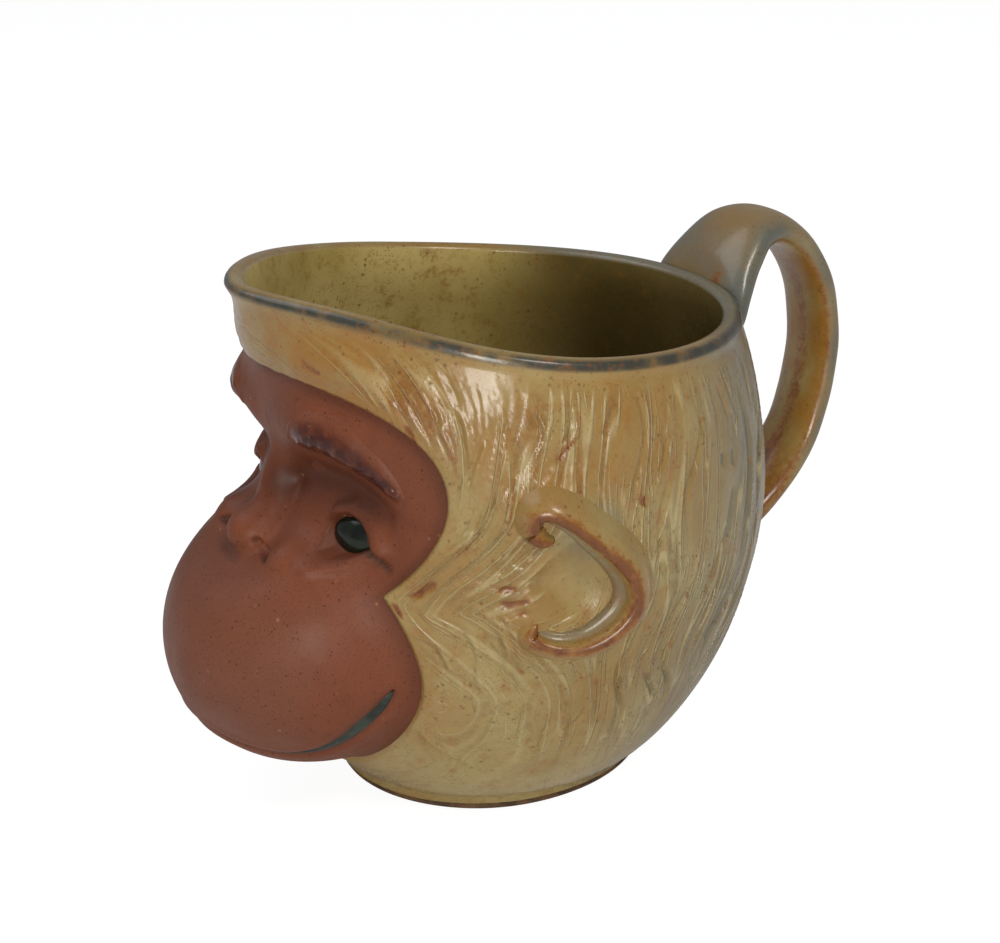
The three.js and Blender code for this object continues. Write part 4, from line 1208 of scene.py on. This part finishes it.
# Mouth on the left side, from the middle out: place and half width of its glaze
MOUTH_LINE = [
    (0, -73, 26.8, 0.35), (7, -72, 26.4, 0.38), (13, -69, 25.1, 0.42), (18, -64.4, 23.7, 0.48),
    (22, -59.6, 23.2, 0.6), (26, -55, 24.5, 1.15), (30, -51, 27.9, 1.7), (32.8, -47.8, 31.7, 2.0),
    (34.7, -44.5, 35.5, 1.6), (35.7, -42.9, 37.9, 1.0), (36.3, -41.8, 39.8, 0.2),
]


def face_field(head, face, points):
    """The head's field with the nose, the brow ridge, the eye sockets and the lids worked in."""
    x, y, z = points[..., 0], points[..., 1], points[..., 2]
    side = np.abs(x)
    field = head_field(head, points)
    even = np.stack([side, y, z], -1)
    # Nose: a bridge that runs down into a snub bulb, and a wing on each side
    bridge = egg(even, (0, -47.5, 76), (6.8, 6.6, 12), -0.35)
    bulb = egg(even, (0, -56.2, 66.8), (6.2, 6.0, 5.6), 0.2)
    nose = smooth_min(bridge, bulb, 4.0)
    field = smooth_min(field, nose, 2.6)
    wing = (even - (15.8, -55.6, 66.9)) / (3.8, 4.6, 3.5)
    field = field - 2.0 * np.exp(-(wing ** 2).sum(-1))
    front = smoothstep(-20, -35, y)
    # Brow ridge, overhanging a broad sunken band that painted shade in face_marks darkens
    ridge, along = line_distance(side, z, BROW_RIDGE)
    swell = 0.45 + 0.55 * np.sin(np.pi * np.clip(along * 0.9 + 0.08, 0, 1))
    under, _ = line_distance(side, z, BROW_HOLLOW)
    field = field - 1.9 * front * bump(ridge, 0, 4.8) * swell + 2.0 * front * bump(under, 0, 3.6)
    # Eye: a socket, a thick upper lid that droops outward, a rounded lower lid and a crease from the corner
    eye_x, eye_z = side - face.eye_side, z - face.eye_height
    outline, upper, lower = (
        line_distance(eye_x, eye_z, line)[0] for line in (EYE_OUTLINE, UPPER_LID, LOWER_LID))
    crease, along = line_distance(eye_x, eye_z, OUTER_CREASE)
    signed = np.where(inside_line(eye_x, eye_z, EYE_OUTLINE), -outline, outline)
    lids = 0.9 * bump(signed, 1.5, 1.3) * smoothstep(-5, -1, eye_x) - 1.5 * smoothstep(0.5, -0.6, signed)
    lids += 2.0 * bump(upper, 0, 1.7) * smoothstep(-6, -2, eye_x)
    lids += 0.3 * bump(lower, 0, 1.6) * smoothstep(-4, 0, eye_x)
    lids -= 1.2 * bump(crease, 0, 0.7) * (1 - 0.5 * along)
    return field - front * lids


def mouth_line():
    """The mouth from corner to corner, as fine points with the half width of its glaze."""
    line = np.array(MOUTH_LINE)
    return smooth_line(np.concatenate([line[:0:-1] * (-1, 1, 1, 1), line]), 300)


def nearest(points, line):
    """Distance of points from the nearest of a fine line's places, and the half width of that place."""
    closest = np.full(points.shape[:-1], 1e9)
    width = np.zeros(points.shape[:-1])
    for place in line:
        distance = np.linalg.norm(points - place[:3], axis=-1)
        width = np.where(distance < closest, place[3], width)
        closest = np.minimum(closest, distance)
    return closest, width


def mouth_groove(points):
    """How far the grooves of the mouth and the nostrils sink the face at these points."""
    line = mouth_line()
    sunk = np.zeros(points.shape[:-1])
    low, high = line[:, :3].min(0) - 6, line[:, :3].max(0) + 6
    near = ((points > low) & (points < high)).all(-1)
    closest, width = nearest(points[near], line)
    sunk[near] = -0.95 * np.exp(-(closest / (width + 0.45)) ** 2) + 0.3 * bump(closest, width + 2.0, 1.1)
    distance, width = nostril_distance(points)
    return sunk - 2.0 * bump(distance, 0, width)


def nostril_distance(points):
    """Distance from the comma of the nostril, and its half width there."""
    return nearest(points * (np.sign(points[..., :1]) * (1, 0, 0) + (0, 1, 1)), smooth_line(NOSTRIL, 30))


def inside_line(first, second, line):
    """Whether points lie inside a closed line, by counting crossings."""
    inside = np.zeros(first.shape, bool)
    for (ax, az), (bx, bz) in zip(line, line[1:]):
        crosses = (az > second) != (bz > second)
        at = ax + (second - az) / (bz - az if bz != az else 1e-9) * (bx - ax)
        inside ^= crosses & (first < at)
    return inside


def face_marks(face, points):
    """Painted shade in the hollows, a painted mauve sheen, and ink, for the clay's material."""
    x, y, z = points[..., 0], points[..., 1], points[..., 2]
    side = np.abs(x)
    eye_x, eye_z = side - face.eye_side, z - face.eye_height
    under, _ = line_distance(side, z, BROW_SHADE)
    outline, _ = line_distance(eye_x, eye_z, EYE_OUTLINE)
    crease, along = line_distance(eye_x, eye_z, OUTER_CREASE)
    nostril, width = nostril_distance(points)
    below_nose = np.sqrt((side / 5) ** 2 + ((y + 62) / 2.6) ** 2 + ((z - 63.2) / 1.6) ** 2)
    mouth = -np.minimum(mouth_groove(points), 0) * (z < 50)
    # Painted shade: under the brow (there partly a darker glaze as well), round the eye, in the mouth and
    # nostril, under the nose and along the hair's edge
    painted_hollow_shade = 0.85 * bump(under, 0, 4.6) + 0.5 * bump(outline, 0, 1.0) + 0.7 * mouth
    painted_hollow_shade += 0.9 * smoothstep(1.3, 0.5, nostril / (width + 0.4)) + 0.6 * smoothstep(1.4, 0.4, below_nose)
    painted_hollow_shade += 0.45 * smoothstep(-3.2, -0.6, mask_distance(face, points))
    # Painted sheen: mauve on the front of the muzzle and on the middle of the forehead
    painted_sheen = smoothstep(-52, -66, y) * smoothstep(70, 52, z) + 0.5 * bump(z, 98, 6) * smoothstep(22, 6, side)
    ink = 0.85 * bump(crease, 0, 0.75) * (1 - 0.4 * along) + 0.6 * bump(side, 12.6, 1.0) * bump(z, 92, 2.0)
    ink += 0.7 * smoothstep(0.5, 0.9, mouth)
    return paint(x.shape, *(np.clip(channel, 0, 1) for channel in (painted_hollow_shade, painted_sheen, ink)))


def fix_facing(piece):
    """Turns the faces over if the closed piece faces inward."""
    mesh = piece.data
    mesh.calc_loop_triangles()
    points = np.zeros(len(mesh.vertices) * 3)
    mesh.vertices.foreach_get("co", points)
    points = points.reshape(-1, 3)
    corners = np.zeros(len(mesh.loop_triangles) * 3, np.int32)
    mesh.loop_triangles.foreach_get("vertices", corners)
    a, b, c = points[corners.reshape(-1, 3)].transpose(1, 0, 2)
    if np.einsum("ij,ij->", np.cross(a, b), c) < 0:
        mesh.flip_normals()


def face_point(head, face, x, z):
    """Points of the worked face by their place seen from in front."""
    start = np.stack([x, np.full_like(x, -5.0), z], -1)
    return cast(lambda p: face_field(head, face, p), start, (0, -1, 0), 80.0, 10.0, 100)


# A point well inside the head behind the face, to tell a patch's front from its back
INSIDE_FACE = np.array([0, -10.0, 60.0])


def patch(name, surface, thickness, material, colours=None):
    """A closed piece from a grid of points on its front, by drawing its border and its back inward."""
    rows, columns = surface.shape[:2]
    normal = grid_normals(surface)
    centre = rows // 2, columns // 2
    out = np.sign(normal[centre] @ (surface[centre] - INSIDE_FACE))
    back = surface - normal * out * thickness
    points = np.concatenate([surface.reshape(-1, 3), back.reshape(-1, 3)])
    count = rows * columns
    faces = list(quads(rows, columns)) + list(quads(rows, columns, start=count, flip=True))
    rim = [*range(columns), *(r * columns + columns - 1 for r in range(1, rows)),
           *range(count - 2, count - columns - 1, -1), *(r * columns for r in range(rows - 2, 0, -1))]
    faces += [[a, a + count, b + count, b] for a, b in zip(rim, rim[1:] + rim[:1])]
    colours = {key: np.concatenate([value.reshape(-1, 4)] * 2) for key, value in (colours or {}).items()}
    piece = new_mesh(name, points, faces, colours=colours)
    piece.data.materials.append(material)
    fix_facing(piece)
    return piece


class JUG_OT_brows(bpy.types.Operator):
    """Builds the tufted brows with their thin glossy wash"""
    bl_idname = "jug.brows"
    bl_label = "Brows"

    rows, columns, tufts = 160, 60, 17

    def execute(self, context):
        head, face = sizes(context, "head", "face")
        material = material_of("purple_brow_slip", clay_material, context.scene.jug_colours, True)
        top, low = smooth_line(BROW_TOP, self.rows), smooth_line(BROW_LOW, self.rows)
        s, v = np.meshgrid(np.linspace(0, 1, self.rows), np.linspace(0, 1, self.columns), indexing="ij")
        flat = low[:, None] * (1 - v[..., None]) + top[:, None] * v[..., None]
        base = face_point(head, face, flat[..., 0], flat[..., 1])
        normal = grid_normals(base)
        normal = normal * np.where(normal[..., 1:2] > 0, -1, 1)
        dome = (1 - np.abs(2 * v - 1) ** 2.6) ** 0.7 * (1 - (2 * s - 1) ** 4) ** 0.6
        marks = face_marks(face, base)
        marks[..., 2] = smoothstep(0.6, 1.0, dome) * smoothstep(0.04, 0.35, s) * smoothstep(0.9, 0.5, v)
        for hand, name in ((1, "left_brow"), (-1, "right_brow")):
            height = -0.42 + 0.86 * dome + 0.16 * dome * np.sin(7.5 * s * np.pi + 2.2 * v + 0.5)
            height += dome * self.crossing(np.random.default_rng(SEED + hand), s, v)
            surface = (base + normal * height[..., None]) * (hand, 1, 1)
            piece = patch(name, surface, 1.6, material, {"marks": marks})
            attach(piece, "root")
            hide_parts(REPLACED[name])
        return {"FINISHED"}

    def crossing(self, random, s, v):
        """Short crossing tufts, laid from the lower edge up and outward."""
        height = 0
        for k in range(self.tufts):
            place = 0.06 + 0.88 * (k + random.uniform(0, 0.7)) / self.tufts
            start = np.array([place, random.uniform(0.05, 0.3)])
            reach, lean = random.uniform(0.35, 0.6), random.uniform(0.03, 0.11)
            line = np.array([start, start + (lean * 0.35, reach * 0.5), start + (lean, reach)]) * BROW_SPAN
            away, along = line_distance(s * BROW_SPAN[0], v * BROW_SPAN[1], line)
            tall, wide = random.uniform(0.22, 0.42), random.uniform(0.45, 0.7)
            height = height + tall * np.exp(-(away / wide) ** 2) * np.sin(np.pi * along) ** 0.7
        return height


class JUG_OT_eyes(bpy.types.Operator):
    """Builds the glazed eyes"""
    bl_idname = "jug.eyes"
    bl_label = "Eyes"

    def execute(self, context):
        head, face = sizes(context, "head", "face")
        colour = context.scene.jug_colours.eye
        material = material_of("green_black_glaze", gloss_material, colour, EYE_DEEP, 1.6, 0.14)
        centre = face_point(head, face, np.array([face.eye_side]), np.array([face.eye_height]))[0]
        here = head_field(head, centre)
        out = unit(np.array([head_field(head, centre + 0.5 * axis) - here for axis in np.eye(3)]))
        side = unit(np.cross([0, 0, 1.0], out))
        side = side * np.sign(side[0])
        up = np.cross(out, side)
        up = up * np.sign(up[2])
        turned = np.linspace(0, 2 * np.pi, 72, endpoint=False)
        # A pellet, domed in front, rounder behind, and a little wider than its lids so that they hold it
        wide, tall, back = 1.2 * face.eye_half_width, 1.12 * face.eye_half_height, 2.4
        for hand, name in ((1, "left_eye"), (-1, "right_eye")):
            rings = []
            for tilt in np.linspace(0.03, np.pi - 0.03, 36):
                flat = math.sin(tilt)
                deep = math.cos(tilt) * (face.eye_dome + 1.0 if tilt < np.pi / 2 else back)
                ring = (centre + 0.1 * out + out * deep + side * (wide * flat * np.cos(turned))[:, None]
                        + up * (tall * flat * np.sin(turned))[:, None])
                rings.append(ring * (hand, 1, 1))
            piece = rings_mesh(name, turned_out(rings), material)
            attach(piece, "root")
            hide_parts(REPLACED[name])
        return {"FINISHED"}


class JUG_OT_mouth(bpy.types.Operator):
    """Builds the glaze pooled in the mouth groove"""
    bl_idname = "jug.mouth"
    bl_label = "Mouth"

    def execute(self, context):
        head, face = sizes(context, "head", "face")
        material = material_of("pooled_grey_glaze", gloss_material, POOL_DARK, POOL_GREY, 2.0, 0.3)
        line = mouth_line()
        origin, _ = face_fan()
        over = unit(np.cross(unit(line[:, :3] - origin), unit(np.gradient(line[:, :3], axis=0))))
        t = np.linspace(-1, 1, 13)
        rays = line[:, None, :3] + over[:, None] * (line[:, 3:, None] * t[None, :, None]) - origin
        far = np.linalg.norm(rays, axis=-1)
        rays /= far[..., None]
        reach = meet(lambda p: face_field(head, face, p), origin, rays, far + 6, far - 6, 30, 11)
        # Sunk in the groove, and lower at its edges
        reach = reach - 0.42 - 0.4 * t[None] ** 2
        piece = patch("mouth", origin + rays * reach[..., None], 1.0, material)
        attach(piece, "root")
        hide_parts("mouth_inlay")
        return {"FINISHED"}


def sweep(path, over, out, half_width, half_depth, section):
    """Rings round a path, from a section in shares of the half width (along over) and half depth (along out)."""
    return (path[:, None] + over[:, None] * (half_width[:, None] * section[None, :, 0])[..., None]
            + out[:, None] * (half_depth[:, None] * section[None, :, 1])[..., None])


class JUG_OT_ears(bpy.types.Operator):
    """Builds the rolled ears, each with its curl, its lobe and the fold inside it"""
    bl_idname = "jug.ears"
    bl_label = "Ears"

    step = 0.5

    def execute(self, context):
        head, trim = sizes(context, "head", "trim")
        material = material_of("straw_ash_glaze", glaze_material, context.scene.jug_colours)
        curve = ear_path(trim)
        y, z, width, stand = curve.T
        base = side_point(head, y, z)
        below, before = side_point(head, y, z - self.step), side_point(head, y - self.step, z)
        out = unit(np.cross(below - base, before - base))
        out *= np.sign(out[:, :1])
        over = unit(np.cross(unit(np.gradient(base, axis=0)), out))
        # over points to the outside of the C, and the roll leans a little inward
        over *= np.sign(((base - base.mean(0)) * over).sum(1, keepdims=True))
        t = np.linspace(0, 1, len(base))[:, None]
        up = unit(out - over * smoothstep(0.1, 0.5, t) * 0.12)
        share_end = (1 - np.minimum(t, 1 - t)[:, 0] / 0.07).clip(0)
        ends = np.sqrt(np.clip(1 - share_end ** 2, 0.0, 1)) * 0.92 + 0.08
        section = smooth_line(EAR_SECTION + EAR_SECTION[:1], 73)[:-1]
        crest = (0.5 + 1.08 * stand) * (0.35 + 0.65 * ends)
        rolled = sweep(base, over, up, width * ends * 1.12, crest, section)
        a, b = section[None, :, 0], section[None, :, 1]
        # Brown where the glaze ran thin: inside the roll, at both ends, on the step and along the crest
        brown = bump(a, -0.4, 0.3) * smoothstep(0.55, 0.85, b)
        brown = brown * (0.35 + 0.65 * smoothstep(0.3, 0.42, t) * (1 - 0.5 * bump(t, 0.62, 0.07)))
        brown += 0.9 * bump(t, 0.05, 0.05) * smoothstep(0.6, 0.9, b)
        brown += 0.8 * bump(t, 0.9, 0.09) * smoothstep(0.5, 0.9, b)
        brown += 0.35 * bump(a, -0.95, 0.2) * smoothstep(0.0, 0.25, b) * smoothstep(0.3, 0.5, t)
        brown += 0.8 * bump(a, -0.25, 0.42) * smoothstep(0.7, 0.95, b) * smoothstep(0.04, 0.12, t)
        brown = np.clip(brown * (0.85 + 0.15 * np.sin(19 * t + 3 * np.sin(31 * t))), 0, 1)
        shade = smoothstep(0.75, 0.3, b) * smoothstep(-0.4, -0.7, a)
        marks = paint(brown.shape, brown, 0.55 * shade, 0.5)
        zones = paint(brown.shape, 0, 0.35, 0)
        for hand, name in ((1, "left_ear"), (-1, "right_ear")):
            rings = rolled * (hand, 1, 1)
            piece = rings_mesh(name, rings, material, {"marks": marks, "zones": zones})
            fix_facing(piece)
            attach(piece, "root")
            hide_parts(REPLACED[name])
        return {"FINISHED"}


# Middle line of the handle from the rim to its foot: depth, height, half width and half thickness, the last two
# for a strap of these half sizes
STRAP_HALF_WIDTH, STRAP_HALF_THICKNESS = 9, 3.5
HANDLE_KNOTS = [
    (60.4, 95, 11, 1.3), (60.6, 98, 15.5, 2.4), (61.2, 101.8, 18, 3.6), (62.4, 106.4, 17.2, 4.6),
    (65.4, 110.8, 14.4, 4.9), (70.6, 114.9, 11.8, 4.6), (77.2, 115.4, 9.9, 4), (83.6, 111.4, 9.1, 3.6),
    (88.4, 105.4, 8.9, 3.5), (91.4, 98.8, 8.9, 3.5), (93, 91.4, 8.9, 3.5), (93.4, 84, 8.9, 3.5),
    (92.6, 76.4, 8.9, 3.5), (90.8, 69, 8.9, 3.5), (88, 61, 9, 3.5), (82.6, 53.4, 9.2, 3.6),
    (75.4, 47, 9.8, 3.9), (67.4, 43, 10.8, 4.5), (59.5, 41.4, 12, 5),
]


class JUG_OT_handle(bpy.types.Operator):
    """Builds the strap handle with its flared roots"""
    bl_idname = "jug.handle"
    bl_label = "Handle"

    sides = 84

    def execute(self, context):
        trim, = sizes(context, "trim")
        material = material_of("straw_ash_glaze", glaze_material, context.scene.jug_colours)
        curve = smooth_line(HANDLE_KNOTS, 260)
        middle = np.stack([np.zeros(len(curve)), curve[:, 0], curve[:, 1]], -1)
        over = np.broadcast_to(np.array([1.0, 0, 0]), middle.shape)
        out = np.cross(unit(np.gradient(middle, axis=0)), over)
        turned = np.linspace(0, 2 * np.pi, self.sides, endpoint=False)
        crown, sin = np.cos(turned), np.sin(turned)
        section = np.stack([np.sign(crown) * np.abs(crown) ** 0.78, np.sign(sin) * np.abs(sin) ** 0.9], -1)
        width = curve[:, 2] * trim.handle_half_width / STRAP_HALF_WIDTH
        depth = curve[:, 3] * trim.handle_half_thickness / STRAP_HALF_THICKNESS
        rings = sweep(middle, over, out, width, depth, section)
        t = np.linspace(0, 1, len(curve))[:, None]
        wave = 0.16 * np.sin(9 * t * 2 * np.pi + 2 * sin) + 0.1 * np.sin(23 * t + 3 * turned)
        rings = rings + (rings - middle[:, None]) * 0.05 * wave[..., None]
        # The flared root follows the round of the rim
        rooted = smoothstep(0.26, 0.1, t) * rings[..., 0] ** 2
        rings[..., 1] -= rooted / 106
        rings[..., 2] -= rooted / 75
        within = smoothstep(0.1, 0.6, sin)
        slate = 0.85 * np.abs(crown) ** 3 * smoothstep(0.95, 0.7, t) * (1 - within)
        slate = slate + 0.62 * smoothstep(0.36, 0.22, t) + 0.3 * smoothstep(0.13, 0.05, t)
        slate = np.clip(slate * (0.8 + 0.2 * np.sin(40 * t + 2 * crown)), 0, 1)
        brown = within * (0.62 * bump(crown, 0.05, 0.16) + 0.7 * smoothstep(0.72, 0.95, np.abs(crown)))
        brown = brown * smoothstep(0.28, 0.42, t) + 0.55 * smoothstep(0.74, 0.92, t)
        # Two drips at the root
        brown += 0.7 * bump(t, 0.16, 0.025) * bump(crown, 0.42, 0.13)
        brown += 0.8 * bump(t, 0.13, 0.02) * bump(crown, -0.86, 0.07)
        marks = paint(slate.shape, brown, slate, 0.5)
        zones = paint(slate.shape, 0, 0.35 + 0.65 * within, 0)
        piece = rings_mesh("strap", rings, material, {"marks": marks, "zones": zones})
        fix_facing(piece)
        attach(piece, "root")
        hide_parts("handle")
        return {"FINISHED"}


# Section of the foot's edge, from the middle of its underside round to its top: outward of the oval, and height
FOOT_PROFILE = [
    (-8, 0), (-1.1, 0), (-0.5, 0.12), (-0.15, 0.45), (0.1, 0.9), (0.1, 1.2), (-0.7, 1.6), (-0.8, 3.7), (-1, 4),
    (-8, 4),
]


class JUG_OT_foot(bpy.types.Operator):
    """Builds the foot disc with its wiped edge"""
    bl_idname = "jug.foot"
    bl_label = "Foot"

    def execute(self, context):
        head, = sizes(context, "head")
        material = material_of("wiped_foot_clay", foot_material, context.scene.jug_colours)
        angle = np.linspace(0, 2 * np.pi, 240, endpoint=False)
        rings = []
        for outset, height in FOOT_PROFILE:
            r = foot_radius(head, angle) + outset + 0.05 * np.sin(7 * angle + height)
            rings.append(np.stack([r * np.sin(angle), -r * np.cos(angle), np.full_like(angle, height)], -1))
        piece = rings_mesh("foot", turned_out(rings), material)
        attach(piece, "root")
        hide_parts("foot_disc")
        return {"FINISHED"}


# In metres: half the floor's width, and the area lamps with their name, place, power, width and colour
FLOOR_REACH = 3.0
LAMPS = [
    ("key", (0.76, 0.08, 0.9), 5.4, 0.3, "#fff6ea"),
    ("window", (0.86, -0.63, 0.27), 5.0, 0.3, "#fffaf2"),
    ("sky", (-0.45, -0.6, 1.1), 5.0, 0.9, "#f3f5ff"),
]
LAMP_TARGET = (0, 0, 0.06)
# The photo's camera: degrees round from the front, up and rolled, the point it looks at in millimetres, metres
# away from there, and its focal length as a share of the sensor's width
CAMERA_TURNS, CAMERA_TARGET, CAMERA_AWAY, FOCAL_SHARE = (62, 22, -1.6), (0, 4.3, 67.3), 0.413, 1.788


class JUG_OT_stage(bpy.types.Operator):
    """Sets up the white floor, the soft lamps and the camera"""
    bl_idname = "jug.stage"
    bl_label = "Stage"

    def execute(self, context):
        scene = context.scene
        material = material_of("white_paper", paper_material, scene.jug_colours)
        mesh = bpy.data.meshes.new("floor")
        corners = [(x * FLOOR_REACH, y * FLOOR_REACH, 0) for x, y in ((-1, -1), (1, -1), (1, 1), (-1, 1))]
        mesh.from_pydata(corners, [], [(0, 1, 2, 3)])
        floor = bpy.data.objects.new("floor", mesh)
        scene.collection.objects.link(floor)
        mesh.materials.append(material)
        world = bpy.data.worlds.new("studio")
        scene.world = world
        world.use_nodes = True
        tree = world.node_tree
        tree.nodes.clear()
        seen = add(tree, "ShaderNodeLightPath").outputs["Is Camera Ray"]
        soft = add(tree, "ShaderNodeBackground", {"Color": ROOM, "Strength": 0.38}).outputs[0]
        sockets = {"Color": scene.jug_colours.paper, "Strength": 1.0}
        white = add(tree, "ShaderNodeBackground", sockets).outputs[0]
        blend = add(tree, "ShaderNodeMixShader", {0: seen, 1: soft, 2: white}).outputs[0]
        add(tree, "ShaderNodeOutputWorld", {0: blend})
        for name, place, power, size, code in LAMPS:
            lamp = bpy.data.lights.new(name, "AREA")
            lamp.energy = power
            lamp.size = size
            lamp.color = linear(code)[:3]
            holder = bpy.data.objects.new(name, lamp)
            scene.collection.objects.link(holder)
            holder.location = place
            holder.rotation_euler = (Vector(LAMP_TARGET) - Vector(place)).to_track_quat("-Z", "Y").to_euler()
        camera = bpy.data.cameras.new("photo_view")
        camera.sensor_fit = "HORIZONTAL"
        camera.sensor_width = 36
        camera.lens = camera.sensor_width * FOCAL_SHARE
        camera.clip_start = 0.01
        holder = bpy.data.objects.new("photo_view", camera)
        scene.collection.objects.link(holder)
        side, lift, roll = map(math.radians, CAMERA_TURNS)
        back = np.array([math.sin(side) * math.cos(lift), -math.cos(side) * math.cos(lift), math.sin(lift)])
        right = np.array([math.cos(side), math.sin(side), 0])
        up = np.cross(back, right)
        right, up = math.cos(roll) * right + math.sin(roll) * up, -math.sin(roll) * right + math.cos(roll) * up
        turned = Matrix((right, up, back)).transposed().to_4x4()
        turned.translation = np.array(CAMERA_TARGET) * MM + CAMERA_AWAY * back
        holder.matrix_world = turned
        scene.camera = holder
        scene.view_settings.view_transform = "Standard"
        return {"FINISHED"}


class JUG_PT_panel(bpy.types.Panel):
    """The jug's sizes and the buttons that build it"""
    bl_label = "Monkey-head jug"
    bl_space_type = "VIEW_3D"
    bl_region_type = "UI"
    bl_category = "Jug"

    def draw(self, context):
        for operator in STEPS:
            self.layout.operator(operator.bl_idname)
        for key in GROUPS:
            group = getattr(context.scene, key)
            box = self.layout.box()
            for name in group.bl_rna.properties.keys():
                if name not in ("rna_type", "name"):
                    box.prop(group, name)


REPLACED = {
    "left_brow": "brow_left", "right_brow": "brow_right", "left_eye": "eye_left", "right_eye": "eye_right",
    "left_ear": "ear_left", "right_ear": "ear_right",
}
GROUPS = {"jug_head": JugHead, "jug_face": JugFace, "jug_trim": JugTrim, "jug_colours": JugColours}
STEPS = (
    JUG_OT_hair, JUG_OT_face, JUG_OT_brows, JUG_OT_eyes, JUG_OT_mouth, JUG_OT_ears, JUG_OT_handle, JUG_OT_foot,
    JUG_OT_stage)


def register():
    for cls in (*GROUPS.values(), *STEPS, JUG_PT_panel):
        bpy.utils.register_class(cls)
    for key, cls in GROUPS.items():
        setattr(bpy.types.Scene, key, bpy.props.PointerProperty(type=cls))


def unregister():
    for key in GROUPS:
        delattr(bpy.types.Scene, key)
    for cls in (JUG_PT_panel, *STEPS, *GROUPS.values()):
        bpy.utils.unregister_class(cls)


def main():
    register()
    for operator in STEPS:
        family, name = operator.bl_idname.split(".")
        getattr(getattr(bpy.ops, family), name)()


if __name__ == "__main__":
    main()
